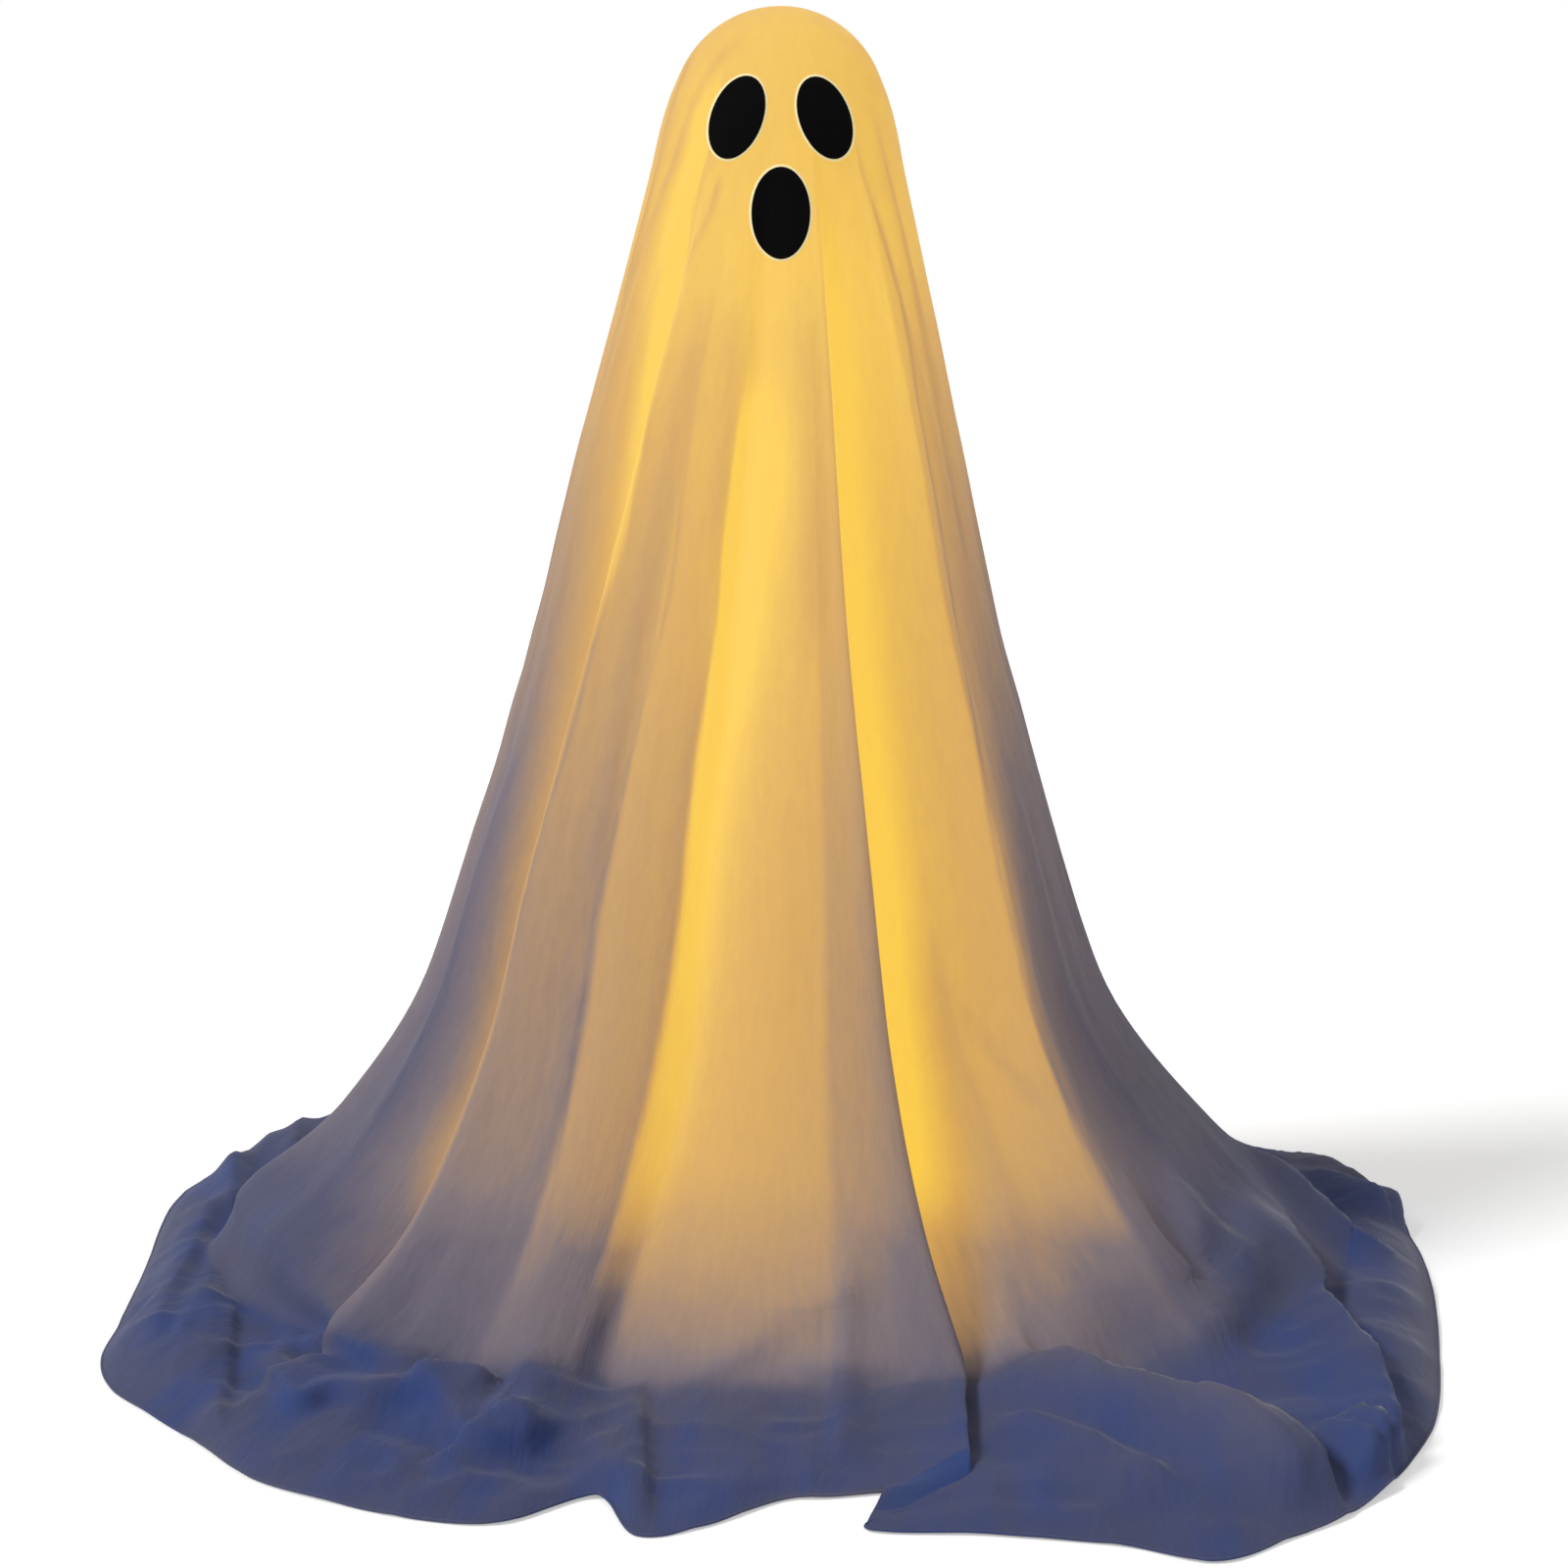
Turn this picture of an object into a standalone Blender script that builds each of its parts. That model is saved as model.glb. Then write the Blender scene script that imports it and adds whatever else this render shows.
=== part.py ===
"""Lit cloth ghost: a light cloth draped over a globe on a jointed pole, with a lamp string inside.

The origin is the pole's axis at floor level, +Z is up and the face looks along -Y. Metres.
"""
import math

import bmesh
import bpy
import numpy as np
from mathutils import Matrix, Vector

# Clearances
FIT_GAP = 0.0003
CUT_OVERRUN = 0.004
MERGE_DISTANCE = 0.00001

# The whole figure
FIGURE_HEIGHT = 0.965
SKIRT_HALF_WIDTH = 0.516
SKIRT_HALF_DEPTH = 0.531

# Globe under the head
GLOBE_RADIUS = 0.076
GLOBE_WALL = 0.0015
GLOBE_NECK_RADIUS = 0.026
GLOBE_NECK_LENGTH = 0.010

# Cloth
CLOTH_THICKNESS = 0.0012
FOLD_DEPTH = 0.026
HEAP_HEIGHT = 0.050

# Felt eyes and mouth, measured on the front of the head
EYE_HALF_WIDTH = 0.0176
EYE_HALF_HEIGHT = 0.0305
EYE_HALF_SPACING = 0.0312
EYE_DROP = 0.0865
EYE_TILT = math.radians(16)
MOUTH_HALF_WIDTH = 0.0205
MOUTH_HALF_HEIGHT = 0.0325
MOUTH_DROP = 0.154
FELT_THICKNESS = 0.0006
FELT_GAP = 0.0005
FELT_RIM = 0.0016

# Pole of three plug-in tubes
POLE_RADIUS = 0.010
POLE_WALL = 0.002
POLE_SECTIONS = 3
POLE_RISE_IN_GLOBE = 0.012
SPIGOT_LENGTH = 0.030
CAP_THICKNESS = 0.002
CAP_PLUG_LENGTH = 0.008

# Folding cross base of two flat bars
BAR_LENGTH = 0.340
BAR_WIDTH = 0.025
BAR_THICKNESS = 0.003
FOOT_HEIGHT = 0.0057
FOOT_WIDTH = 0.021
FOOT_LENGTH = 0.018
FOOT_INSET = 0.004
FOOT_ROUNDING = 0.0015
WASHER_RADIUS = 0.010
WASHER_THICKNESS = 0.0012
BOLT_RADIUS = 0.003
BOLT_HEAD_RADIUS = 0.006
BOLT_HEAD_HEIGHT = 0.0025
BOLT_END = 0.0015
NUT_ACROSS_FLATS = 0.010
NUT_HEIGHT = 0.005

# Hub that holds the pole on the upper bar
HUB_FLANGE_RADIUS = 0.030
HUB_FLANGE_THICKNESS = 0.004
HUB_SOCKET_WALL = 0.003
HUB_SOCKET_DEPTH = 0.045
HUB_SCREW_RADIUS = 0.002
HUB_SCREW_HEAD_RADIUS = 0.0037
HUB_SCREW_HEAD_HEIGHT = 0.002
HUB_SCREW_OFFSET = 0.0215

# Seat that carries the globe
SEAT_PLUG_HEIGHT = 0.008
SEAT_DISC_RADIUS = 0.030
SEAT_DISC_THICKNESS = 0.003
SEAT_COLLAR_WALL = 0.006
SEAT_COLLAR_HEIGHT = 0.018
WIRE_HOLE_RADIUS = 0.0025
GRUB_RADIUS = 0.002

# Lamp string
WIRE_RADIUS = 0.0008
LAMP_RADIUS = 0.0026
LAMP_LENGTH = 0.007
LAMP_TAPER = 0.0015
LAMP_COUNT = 20
STRING_PITCH = 0.050
POINTS_PER_TURN = 10
STRING_LEAD = 0.020
STRING_END_CLEARANCE = 0.004

# Battery case on a saddle behind the pole
CASE_FLOOR_HEIGHT = 0.090
CASE_WALL = 0.0022
CASE_ROUNDING = 0.0008
CELL_RADIUS = 0.0071
CELL_LENGTH = 0.0505
CELL_NUB_RADIUS = 0.00275
CELL_NUB_HEIGHT = 0.001
CELL_COUNT = 3
CELL_SPACING = 0.0004
SPRING_LENGTH = 0.006
SPRING_RADIUS = 0.0036
SPRING_WIRE_RADIUS = 0.0004
SPRING_TURNS = 4
CONTACT_THICKNESS = 0.0005
CONTACT_HALF_WIDTH = 0.0055
COVER_THICKNESS = 0.0016
COVER_GRIP_RADIUS = 0.0007
COVER_GRIP_COUNT = 4
COVER_GRIP_WIDTH_SHARE = 0.33
COVER_GRIP_PITCH = 0.0028
GROOVE_DEPTH = 0.001
LIP_THICKNESS = 0.0012
SADDLE_WALL = 0.002
SADDLE_HEIGHT = 0.030
SADDLE_PAD_WIDTH = 0.024
SADDLE_PAD_DEPTH = 0.0052
SADDLE_MOUTH = math.radians(100)
SADDLE_ARM_ROOT = math.radians(45)
CASE_SCREW_RADIUS = 0.0015
CASE_SCREW_HEAD_RADIUS = 0.0028
CASE_SCREW_LENGTH = 0.0055

# Slide switch in the side of the case
SWITCH_WIDTH = 0.006
SWITCH_DEPTH = 0.008
SWITCH_HEIGHT = 0.014
SWITCH_RECESS = 0.0018
KNOB_WIDTH = 0.0026
KNOB_HEIGHT = 0.003
KNOB_REACH = 0.0015
SWITCH_TRAVEL = 0.004

# Head, middle and foot azimuths of each column of the cloth, in degrees from the front towards +X
COLUMN_AZIMUTHS = [
    (-90, -90, -92), (-76, -80, -82), (-62, -72, -74), (-50, -65, -67), (-40, -59, -62),
    (-32, -55, -58.5), (-26, -52.5, -56), (-20, -45, -50), (-14.5, -38, -43), (-11, -30, -37),
    (-8, -22, -31), (-4, -15, -27), (0, -8, -17), (5, 0, -7), (9, 8, 6),
    (12, 14, 17), (14, 17.5, 24.5), (17, 20.0, 27), (21, 26, 33), (27, 35, 40),
    (32, 44, 48), (35, 50, 54), (41, 56, 60), (56, 67, 70), (70, 80, 82),
    (88, 92, 94), (102, 104, 106), (116, 117, 118), (126, 127, 128), (140, 140, 140),
    (152, 152, 152), (163, 163, 163), (174, 174, 174), (187, 187, 187), (198, 198, 198),
    (210, 210, 210), (221, 221, 221), (234, 234, 233), (246, 245, 244), (258, 257, 256),
]
# How far each column stands out on its fold, as a share of the fold depth: ridges above 0, valleys below
COLUMN_RISE_SHARES = [
    0.60, 0.30, 0.45, -0.15, -0.85, -1.00, 0.85, 0.65, 0.30, 0.40,
    -0.10, -0.85, -0.35, 0.20, 0.45, 0.75, 1.00, -0.85, -1.00, -0.50,
    -0.05, 0.85, 0.50, 0.25, 0.35, 0.50, -0.45, -0.75, 0.55, 0.35,
    -0.75, -0.35, 0.65, 0.25, -0.80, -0.10, 0.70, 0.05, -0.75, -0.15,
]
# Where each column meets the hem, as shares of the skirt's half width and half depth
COLUMN_HEM_SHARES = [
    (-0.97, 0.06), (-0.95, -0.19), (-0.94, -0.34), (-0.90, -0.45), (-0.83, -0.54),
    (-0.78, -0.60), (-0.73, -0.66), (-0.65, -0.76), (-0.54, -0.83), (-0.43, -0.88),
    (-0.33, -0.89), (-0.225, -0.815), (-0.17, -0.925), (-0.09, -0.90), (0.0, -0.825),
    (0.065, -0.815), (0.235, -0.785), (0.10, -0.905), (0.25, -0.925), (0.40, -0.955),
    (0.50, -1.0), (0.59, -0.94), (0.71, -0.83), (0.84, -0.60), (0.92, -0.30),
    (0.98, 0.02), (1.0, 0.25), (0.96, 0.46), (0.87, 0.62), (0.72, 0.79),
    (0.54, 0.90), (0.35, 0.97), (0.155, 1.0), (-0.08, 0.98), (-0.27, 0.96),
    (-0.48, 0.91), (-0.67, 0.81), (-0.83, 0.68), (-0.96, 0.56), (-1.0, 0.38),
]
# How high the skirt heaps up halfway to the hem, as a share of the heap height
COLUMN_HEAP_SHARES = [
    0.20, 0.15, 0.30, 0.25, 0.20, 0.15, 0.10, 0.10, 0.10, 0.05,
    0.05, 0.05, 0.05, 0.05, 0.00, 0.00, 0.10, 0.00, 0.05, 0.10,
    0.15, 0.20, 0.20, 0.30, 0.35, 0.30, 0.45, 0.55, 0.45, 0.30,
    0.20, 0.30, 0.25, 0.15, 0.30, 0.45, 0.70, 0.90, 0.60, 0.30,
]
# Side profile of the cloth: shares of the figure's height and of the skirt's half width
PROFILE_SHARES = [
    (0.030, 0.830), (0.045, 0.806), (0.062, 0.778), (0.085, 0.740), (0.108, 0.700), (0.135, 0.654),
    (0.169, 0.597), (0.201, 0.551), (0.233, 0.514), (0.296, 0.468), (0.359, 0.431), (0.421, 0.395),
    (0.483, 0.362), (0.545, 0.330), (0.606, 0.303), (0.666, 0.278), (0.726, 0.251), (0.786, 0.223),
    (0.845, 0.196), (0.880, 0.180), (0.905, 0.170), (0.930, 0.157),
]
# How far the cloth's sides drift towards -X: shares of the height and of the skirt's half width
DRIFT_SHARES = [(0.0, 0.0), (0.05, -0.004), (0.12, -0.014), (0.22, -0.023), (0.31, -0.025), (0.42, -0.023),
                (0.52, -0.021), (0.65, -0.016), (0.80, -0.008), (0.93, -0.003)]
# How much nearer the pole the front hangs than the sides: shares of the height and of the radius
FRONT_FLATTENING_SHARES = [(0.0, 0.36), (0.062, 0.42), (0.121, 0.42), (0.207, 0.32), (0.311, 0.235),
                           (0.518, 0.14), (0.829, 0.0), (1.0, 0.0)]
# Growth of the folds down the cloth: shares of the height and of the fold depth
FOLD_GROWTH_SHARES = [(0.0, 0.80), (0.062, 0.95), (0.121, 1.0), (0.311, 0.74), (0.518, 0.50),
                      (0.70, 0.28), (0.829, 0.12), (0.91, 0.0), (1.0, 0.0)]
AZIMUTH_HEAD_SHARE = 0.912
AZIMUTH_FOOT_SHARE = 0.104
RISE_BALANCE_SHARE = 0.5
FLATTENING_POWER = 1.5
DRIFT_POWER = 4
HEAD_ROW_HALF_STEP = math.radians(10)
HEAD_COLUMN_HALF_STEP = math.radians(4.5)

# Rows and columns of the cloth: its shape is worked out on fine steps, and some of them become rings
CLOTH_COLUMNS = 80
NECK_SHARE = 0.905
NECK_TO_HEAD_SHARE = 1.112
FOOT_SHARE = 0.030
HANGING_STEPS = 52
SKIRT_STEPS = 82
HEAD_ROW_ANGLES = [17, 37, 57, 77]
HANGING_ROWS = [0, 4, 9, 15, 21, 27, 33, 38, 42, 45, 48, 51]
SKIRT_ROWS = [3, 8, 14, 22, 31, 41, 52, 63, 73, 81]

# The foot of the cloth: how fast it settles on the floor, and how its corner is smoothed
SETTLE_RATE = 7
RUN_OUT_SHARE = 0.14
RUN_OUT_POWER = 0.6
SOFT_FOOT_START = 3
SOFT_FOOT_STEPS = 9
SOFT_FOOT_PASSES = 60

# Folds of the cloth on the floor: height as a share of the heap height, widths of the gentle and the
# steep side as shares of the skirt's half width, then the route in shares of its half width and depth,
# seen from above. The steep side lies to the right of the route as it runs.
FLOOR_FOLDS = [
    (-0.60, 0.060, 0.045, [(-0.85, 0.32), (-0.77, 0.22), (-0.70, 0.13), (-0.64, 0.06), (-0.59, 0.0)]),
    (-0.50, 0.065, 0.045, [(-0.62, -0.40), (-0.66, -0.35), (-0.71, -0.28), (-0.77, -0.19), (-0.82, -0.10)]),
    (0.20, 0.058, 0.045, [(-0.60, -0.30), (-0.65, -0.23), (-0.71, -0.15), (-0.78, -0.06), (-0.82, 0.02)]),
    (0.45, 0.055, 0.045, [(-0.74, -0.34), (-0.68, -0.46), (-0.60, -0.55), (-0.50, -0.60), (-0.41, -0.64),
                          (-0.33, -0.65), (-0.24, -0.60)]),
    (0.24, 0.040, 0.040, [(-0.85, 0.13), (-0.88, 0.34), (-0.93, 0.56)]),
    (0.60, 0.085, 0.035, [(0.70, -0.94), (0.64, -0.81), (0.50, -0.65), (0.39, -0.47), (0.34, -0.36)]),
    (0.48, 0.045, 0.035, [(0.77, -0.88), (0.74, -0.79), (0.71, -0.70), (0.66, -0.68)]),
    (0.40, 0.058, 0.035, [(0.77, -0.83), (0.78, -0.49), (0.74, -0.15), (0.73, -0.04)]),
    (0.30, 0.050, 0.040, [(0.70, -0.09), (0.64, -0.28), (0.59, -0.39), (0.56, -0.48)]),
    (0.36, 0.047, 0.035, [(0.93, -0.04), (0.84, 0.0), (0.76, 0.06), (0.68, 0.11)]),
    (0.32, 0.050, 0.035, [(0.88, -0.04), (0.84, 0.12), (0.82, 0.24), (0.79, 0.45)]),
    (0.48, 0.058, 0.035, [(0.98, 0.17), (0.98, 0.30), (0.95, 0.40), (0.91, 0.49), (0.81, 0.53)]),
    (0.36, 0.066, 0.035, [(0.51, -0.04), (0.55, -0.19), (0.59, -0.33)]),
    (0.28, 0.058, 0.035, [(-0.29, -0.28), (-0.33, -0.49), (-0.37, -0.68)]),
    (0.28, 0.066, 0.035, [(0.58, 0.56), (0.66, 0.73), (0.64, 0.87)]),
    (0.32, 0.078, 0.040, [(0.35, 0.62), (0.37, 0.81), (0.31, 0.94)]),
    (0.28, 0.066, 0.035, [(0.12, 0.64), (0.06, 0.81), (0.08, 0.96)]),
    (0.30, 0.070, 0.035, [(-0.12, 0.66), (-0.17, 0.83), (-0.16, 0.94)]),
    (0.36, 0.074, 0.040, [(-0.33, 0.62), (-0.43, 0.75), (-0.48, 0.87)]),
    (0.32, 0.070, 0.040, [(-0.54, 0.53), (-0.68, 0.66), (-0.76, 0.75)]),
]
FOLD_SAMPLES = 60
FOLD_TAPER_SHARE = 0.25
FLOOR_BLEND_TOP = 3.0
FLOOR_BLEND_DEPTH = 1.8
HEM_BLEND_START = 0.86
HEM_FOLD_SHARE = 0.25

# Heights of the base, from the floor up
LOWER_BAR_Z = FOOT_HEIGHT + FIT_GAP
WASHER_Z = LOWER_BAR_Z + BAR_THICKNESS + FIT_GAP
UPPER_BAR_Z = WASHER_Z + WASHER_THICKNESS + FIT_GAP
HUB_Z = UPPER_BAR_Z + BAR_THICKNESS + FIT_GAP
SOCKET_FLOOR_Z = HUB_Z + HUB_FLANGE_THICKNESS
POLE_BASE_Z = SOCKET_FLOOR_Z + FIT_GAP

# Heights of the head
COARSE_HEAD_ALLOWANCE = math.cos(HEAD_ROW_HALF_STEP) * math.cos(HEAD_COLUMN_HALF_STEP)
HEAD_RADIUS = (GLOBE_RADIUS + FIT_GAP) / COARSE_HEAD_ALLOWANCE + CLOTH_THICKNESS
GLOBE_Z = FIGURE_HEIGHT - HEAD_RADIUS
NECK_TOP_Z = GLOBE_Z - math.sqrt(GLOBE_RADIUS ** 2 - GLOBE_NECK_RADIUS ** 2)
NECK_END_Z = NECK_TOP_Z - GLOBE_NECK_LENGTH
SEAT_DISC_TOP_Z = NECK_END_Z - FIT_GAP
SEAT_COLLAR_RADIUS = POLE_RADIUS + FIT_GAP + SEAT_COLLAR_WALL
SEAT_PLUG_RADIUS = GLOBE_NECK_RADIUS - GLOBE_WALL - FIT_GAP
SEAT_BOTTOM_Z = SEAT_DISC_TOP_Z - SEAT_DISC_THICKNESS - SEAT_COLLAR_HEIGHT
WIRE_HOLE_OFFSET = SEAT_COLLAR_RADIUS + WIRE_HOLE_RADIUS + WIRE_RADIUS
POLE_TOP_Z = GLOBE_Z + POLE_RISE_IN_GLOBE

# Battery case, from the pole outwards
CASE_BACK_Y = POLE_RADIUS + FIT_GAP + SADDLE_PAD_DEPTH + FIT_GAP
CASE_INNER_BACK_Y = CASE_BACK_Y + CASE_WALL
CELL_Y = CASE_INNER_BACK_Y + FIT_GAP + CELL_RADIUS
GROOVE_Y = CELL_Y + CELL_RADIUS + FIT_GAP
GROOVE_WIDTH = COVER_THICKNESS + 2 * FIT_GAP
CASE_FRONT_Y = GROOVE_Y + GROOVE_WIDTH + LIP_THICKNESS
CASE_INNER_WIDTH = (CELL_COUNT * 2 * CELL_RADIUS + (CELL_COUNT - 1) * CELL_SPACING
                    + SWITCH_WIDTH + 3 * FIT_GAP)
CASE_INNER_HEIGHT = 2 * (2 * FIT_GAP + CONTACT_THICKNESS) + SPRING_LENGTH + FIT_GAP + CELL_LENGTH
CASE_INNER_FLOOR_Z = CASE_FLOOR_HEIGHT + CASE_WALL
CASE_TOP_Z = CASE_INNER_FLOOR_Z + CASE_INNER_HEIGHT + CASE_WALL
CASE_RIGHT_X = CASE_INNER_WIDTH / 2
SWITCH_X = CASE_RIGHT_X - FIT_GAP - SWITCH_WIDTH / 2
SWITCH_Z = CASE_FLOOR_HEIGHT + (CASE_TOP_Z - CASE_FLOOR_HEIGHT) / 2
LEAD_X = SWITCH_X
LEAD_Y = CELL_Y

# Sides of round pieces
COARSE_SIDES = 16
ROUND_SIDES = 20
GLOBE_SIDES = 24


def clear_scene():
    for old in list(bpy.data.objects):
        bpy.data.objects.remove(old, do_unlink=True)


def new_collection(name):
    collection = bpy.data.collections.new(name)
    bpy.context.scene.collection.children.link(collection)
    return collection


def new_material(name, colour, roughness, metallic=0.0):
    material = bpy.data.materials.new(name)
    material.use_nodes = True
    shader = material.node_tree.nodes["Principled BSDF"]
    shader.inputs["Base Color"].default_value = (*colour, 1.0)
    shader.inputs["Roughness"].default_value = roughness
    shader.inputs["Metallic"].default_value = metallic
    material.diffuse_color = (*colour, 1.0)
    return material


clear_scene()
GHOST = new_collection("cloth_ghost_figure")
CUTTERS = new_collection("cutters")


def place(name, data, material, at=(0.0, 0.0, 0.0), collection=GHOST):
    """Link an object of this name at a place, with its material."""
    data.name = name
    data.materials.append(material)
    piece = bpy.data.objects.new(name, data)
    piece.location = at
    collection.objects.link(piece)
    return piece


def box(name, low, high, material, rounding=0.0, collection=GHOST):
    """A block between two corners, with its edges rounded by a Bevel."""
    size = Vector(high) - Vector(low)
    form = bmesh.new()
    bmesh.ops.create_cube(form, size=1, matrix=Matrix.Diagonal((*size, 1)))
    data = bpy.data.meshes.new(name)
    form.to_mesh(data)
    form.free()
    piece = place(name, data, material, Vector(low) + size / 2, collection)
    if rounding:
        bevel = piece.modifiers.new("rounded_edges", "BEVEL")
        bevel.width = rounding
        bevel.segments = 2
    return piece


def turned(name, profile, material, at=(0.0, 0.0, 0.0), steps=ROUND_SIDES, closed=False):
    """A turned shape: a profile of (radius, height) that runs down its outer side, with a Screw."""
    points = [(radius, 0.0, height) for radius, height in profile]
    edges = [(i, i + 1) for i in range(len(points) - 1)]
    if closed:
        edges.append((len(points) - 1, 0))
    data = bpy.data.meshes.new(name)
    data.from_pydata(points, edges, [])
    piece = place(name, data, material, at)
    screw = piece.modifiers.new("turning", "SCREW")
    screw.steps = steps
    screw.render_steps = steps
    screw.use_merge_vertices = True
    screw.merge_threshold = MERGE_DISTANCE
    return piece


def round_cutter(name, radius, length, centre, direction=(0.0, 0.0, 1.0)):
    """A cylinder about a centre, for cutting a round hole along a direction."""
    form = bmesh.new()
    turn = Vector((0, 0, 1)).rotation_difference(Vector(direction)).to_matrix().to_4x4()
    bmesh.ops.create_cone(form, cap_ends=True, segments=COARSE_SIDES, radius1=radius,
                          radius2=radius, depth=length, matrix=turn)
    data = bpy.data.meshes.new(name)
    form.to_mesh(data)
    form.free()
    return place(name, data, TOOL, centre, CUTTERS)


def combine(piece, tool, operation="DIFFERENCE"):
    """Cut a tool out of a piece, or join it on, with an exact Boolean."""
    tool.hide_render = True
    tool.display_type = "WIRE"
    boolean = piece.modifiers.new(tool.name, "BOOLEAN")
    boolean.operation = operation
    boolean.object = tool
    boolean.solver = "EXACT"


def circle(radius, centre=(0.0, 0.0), sides=COARSE_SIDES):
    turns = [2 * math.pi * i / sides for i in range(sides)]
    return [(centre[0] + radius * math.cos(a), centre[1] + radius * math.sin(a)) for a in turns]


def slot_outline(length, width, arc_points=9):
    """A bar with round ends along X."""
    reach = length / 2 - width / 2
    half_turn = [math.pi * i / (arc_points - 1) - math.pi / 2 for i in range(arc_points)]
    right = [(reach + width / 2 * math.cos(a), width / 2 * math.sin(a)) for a in half_turn]
    return right + [(-x, -y) for x, y in right]


def flat_piece(name, outlines, thickness, material, at):
    """A flat plate: its outer outline and its holes as one filled curve; at is its underside's centre."""
    curve = bpy.data.curves.new(name, "CURVE")
    curve.dimensions = "2D"
    curve.fill_mode = "BOTH"
    curve.extrude = thickness / 2
    for outline in outlines:
        spline = curve.splines.new("POLY")
        spline.points.add(len(outline) - 1)
        for point, (x, y) in zip(spline.points, outline):
            point.co = (x, y, 0.0, 1.0)
        spline.use_cyclic_u = True
    return place(name, curve, material, (at[0], at[1], at[2] + thickness / 2))


def wire(name, points, thickness, material, swell=None):
    """A round wire through points; swell gives each point's thickness as a multiple."""
    curve = bpy.data.curves.new(name, "CURVE")
    curve.dimensions = "3D"
    curve.bevel_depth = thickness
    curve.bevel_resolution = 1
    curve.use_fill_caps = True
    spline = curve.splines.new("POLY")
    spline.points.add(len(points) - 1)
    for i, (point, (x, y, z)) in enumerate(zip(spline.points, points)):
        point.co = (x, y, z, 1.0)
        point.radius = swell[i] if swell else 1.0
    return place(name, curve, material)


TOOL = new_material("cutting_tool", (0.5, 0.5, 0.5), 0.5)
CLOTH = new_material("light_voile", (0.80, 0.56, 0.24), 0.85)
BLACK_FELT = new_material("black_felt", (0.004, 0.004, 0.004), 0.95)
CREAM_FELT = new_material("cream_felt", (0.80, 0.66, 0.42), 0.9)
STEEL = new_material("zinc_plated_steel", (0.55, 0.55, 0.56), 0.35, 1.0)
BLACK_STEEL = new_material("powder_coated_steel", (0.02, 0.02, 0.022), 0.5)
RUBBER = new_material("black_rubber", (0.015, 0.015, 0.015), 0.85)
WHITE_PLASTIC = new_material("white_plastic_tube", (0.80, 0.80, 0.78), 0.4)
GREY_PLASTIC = new_material("grey_nylon", (0.25, 0.25, 0.27), 0.5)
OPAL_PLASTIC = new_material("opal_globe_plastic", (0.90, 0.82, 0.62), 0.3)
CLEAR_WIRE = new_material("lamp_wire", (0.95, 0.75, 0.35), 0.35)
CASE_PLASTIC = new_material("black_case_plastic", (0.03, 0.03, 0.03), 0.45)
CELL_WRAP = new_material("battery_wrap", (0.06, 0.20, 0.10), 0.35)
NICKEL = new_material("nickel_contact", (0.66, 0.62, 0.56), 0.25, 1.0)
SWITCH_PLASTIC = new_material("red_switch_plastic", (0.45, 0.03, 0.03), 0.4)


def smooth_step(share):
    """Ease from 0 to 1: three squares less two cubes."""
    share = np.clip(share, 0.0, 1.0)
    return share * share * (3 - 2 * share)


def curve_through(places, values, at):
    """Read a smooth curve through values at places: cubic pieces with neighbour slopes."""
    slopes = np.gradient(values, places)
    i = np.clip(np.searchsorted(places, at, side="right") - 1, 0, len(places) - 2)
    gap = places[i + 1] - places[i]
    t = np.clip((at - places[i]) / gap, 0, 1)
    return ((2 * t ** 3 - 3 * t ** 2 + 1) * values[i] + (t ** 3 - 2 * t ** 2 + t) * gap * slopes[i]
            + (3 * t ** 2 - 2 * t ** 3) * values[i + 1] + (t ** 3 - t ** 2) * gap * slopes[i + 1])


def down_the_cloth(table, height_shares):
    """Read a table of (height share, value) at these heights, as a column of values."""
    places, values = np.array(table).T
    return curve_through(places, values, height_shares)[:, None]


def round_the_cloth(values, full_turn=0.0):
    """Read a closed smooth curve through a table at each column; full_turn is what one round adds."""
    values = np.array(values, float)
    count = len(values)
    places = np.arange(-2, count + 2)
    wrapped = np.r_[values[-2:] - full_turn, values, values[:2] + full_turn]
    return curve_through(places, wrapped, np.arange(CLOTH_COLUMNS) * count / CLOTH_COLUMNS)


def column_azimuths(height_shares):
    """Each column's azimuth at each height: the curve through its head, middle and foot azimuths."""
    head, middle, foot = [round_the_cloth(values, 360.0) for values in zip(*COLUMN_AZIMUTHS)]
    down = (AZIMUTH_HEAD_SHARE - height_shares) / (AZIMUTH_HEAD_SHARE - AZIMUTH_FOOT_SHARE)
    s = np.clip(down, 0.0, 1.0)[:, None]
    return np.radians(head * (2 * s - 1) * (s - 1) + middle * 4 * s * (1 - s) + foot * s * (2 * s - 1))


def rings(azimuths, radii, heights):
    """Rows of points round the pole's axis, each row at its height."""
    return np.stack((radii * np.sin(azimuths), -radii * np.cos(azimuths),
                     np.broadcast_to(heights[:, None], azimuths.shape)), -1)


def head_rings():
    """Rings of the dome that lies on the globe, at set angles from the crown."""
    angles = np.radians(HEAD_ROW_ANGLES)
    heights = GLOBE_Z + HEAD_RADIUS * np.cos(angles)
    return rings(column_azimuths(heights / FIGURE_HEIGHT), HEAD_RADIUS * np.sin(angles)[:, None], heights)


def side_radii(height_shares):
    """Radius of the cloth's sides: the neck, which follows the head, and the spread out to the skirt."""
    spread = down_the_cloth(PROFILE_SHARES, np.append(height_shares, NECK_SHARE))
    spread = (spread[:-1] - spread[-1]) / (1 - spread[-1])
    neck_radius = HEAD_RADIUS * NECK_TO_HEAD_SHARE
    return neck_radius + spread * (SKIRT_HALF_WIDTH - neck_radius)


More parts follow.
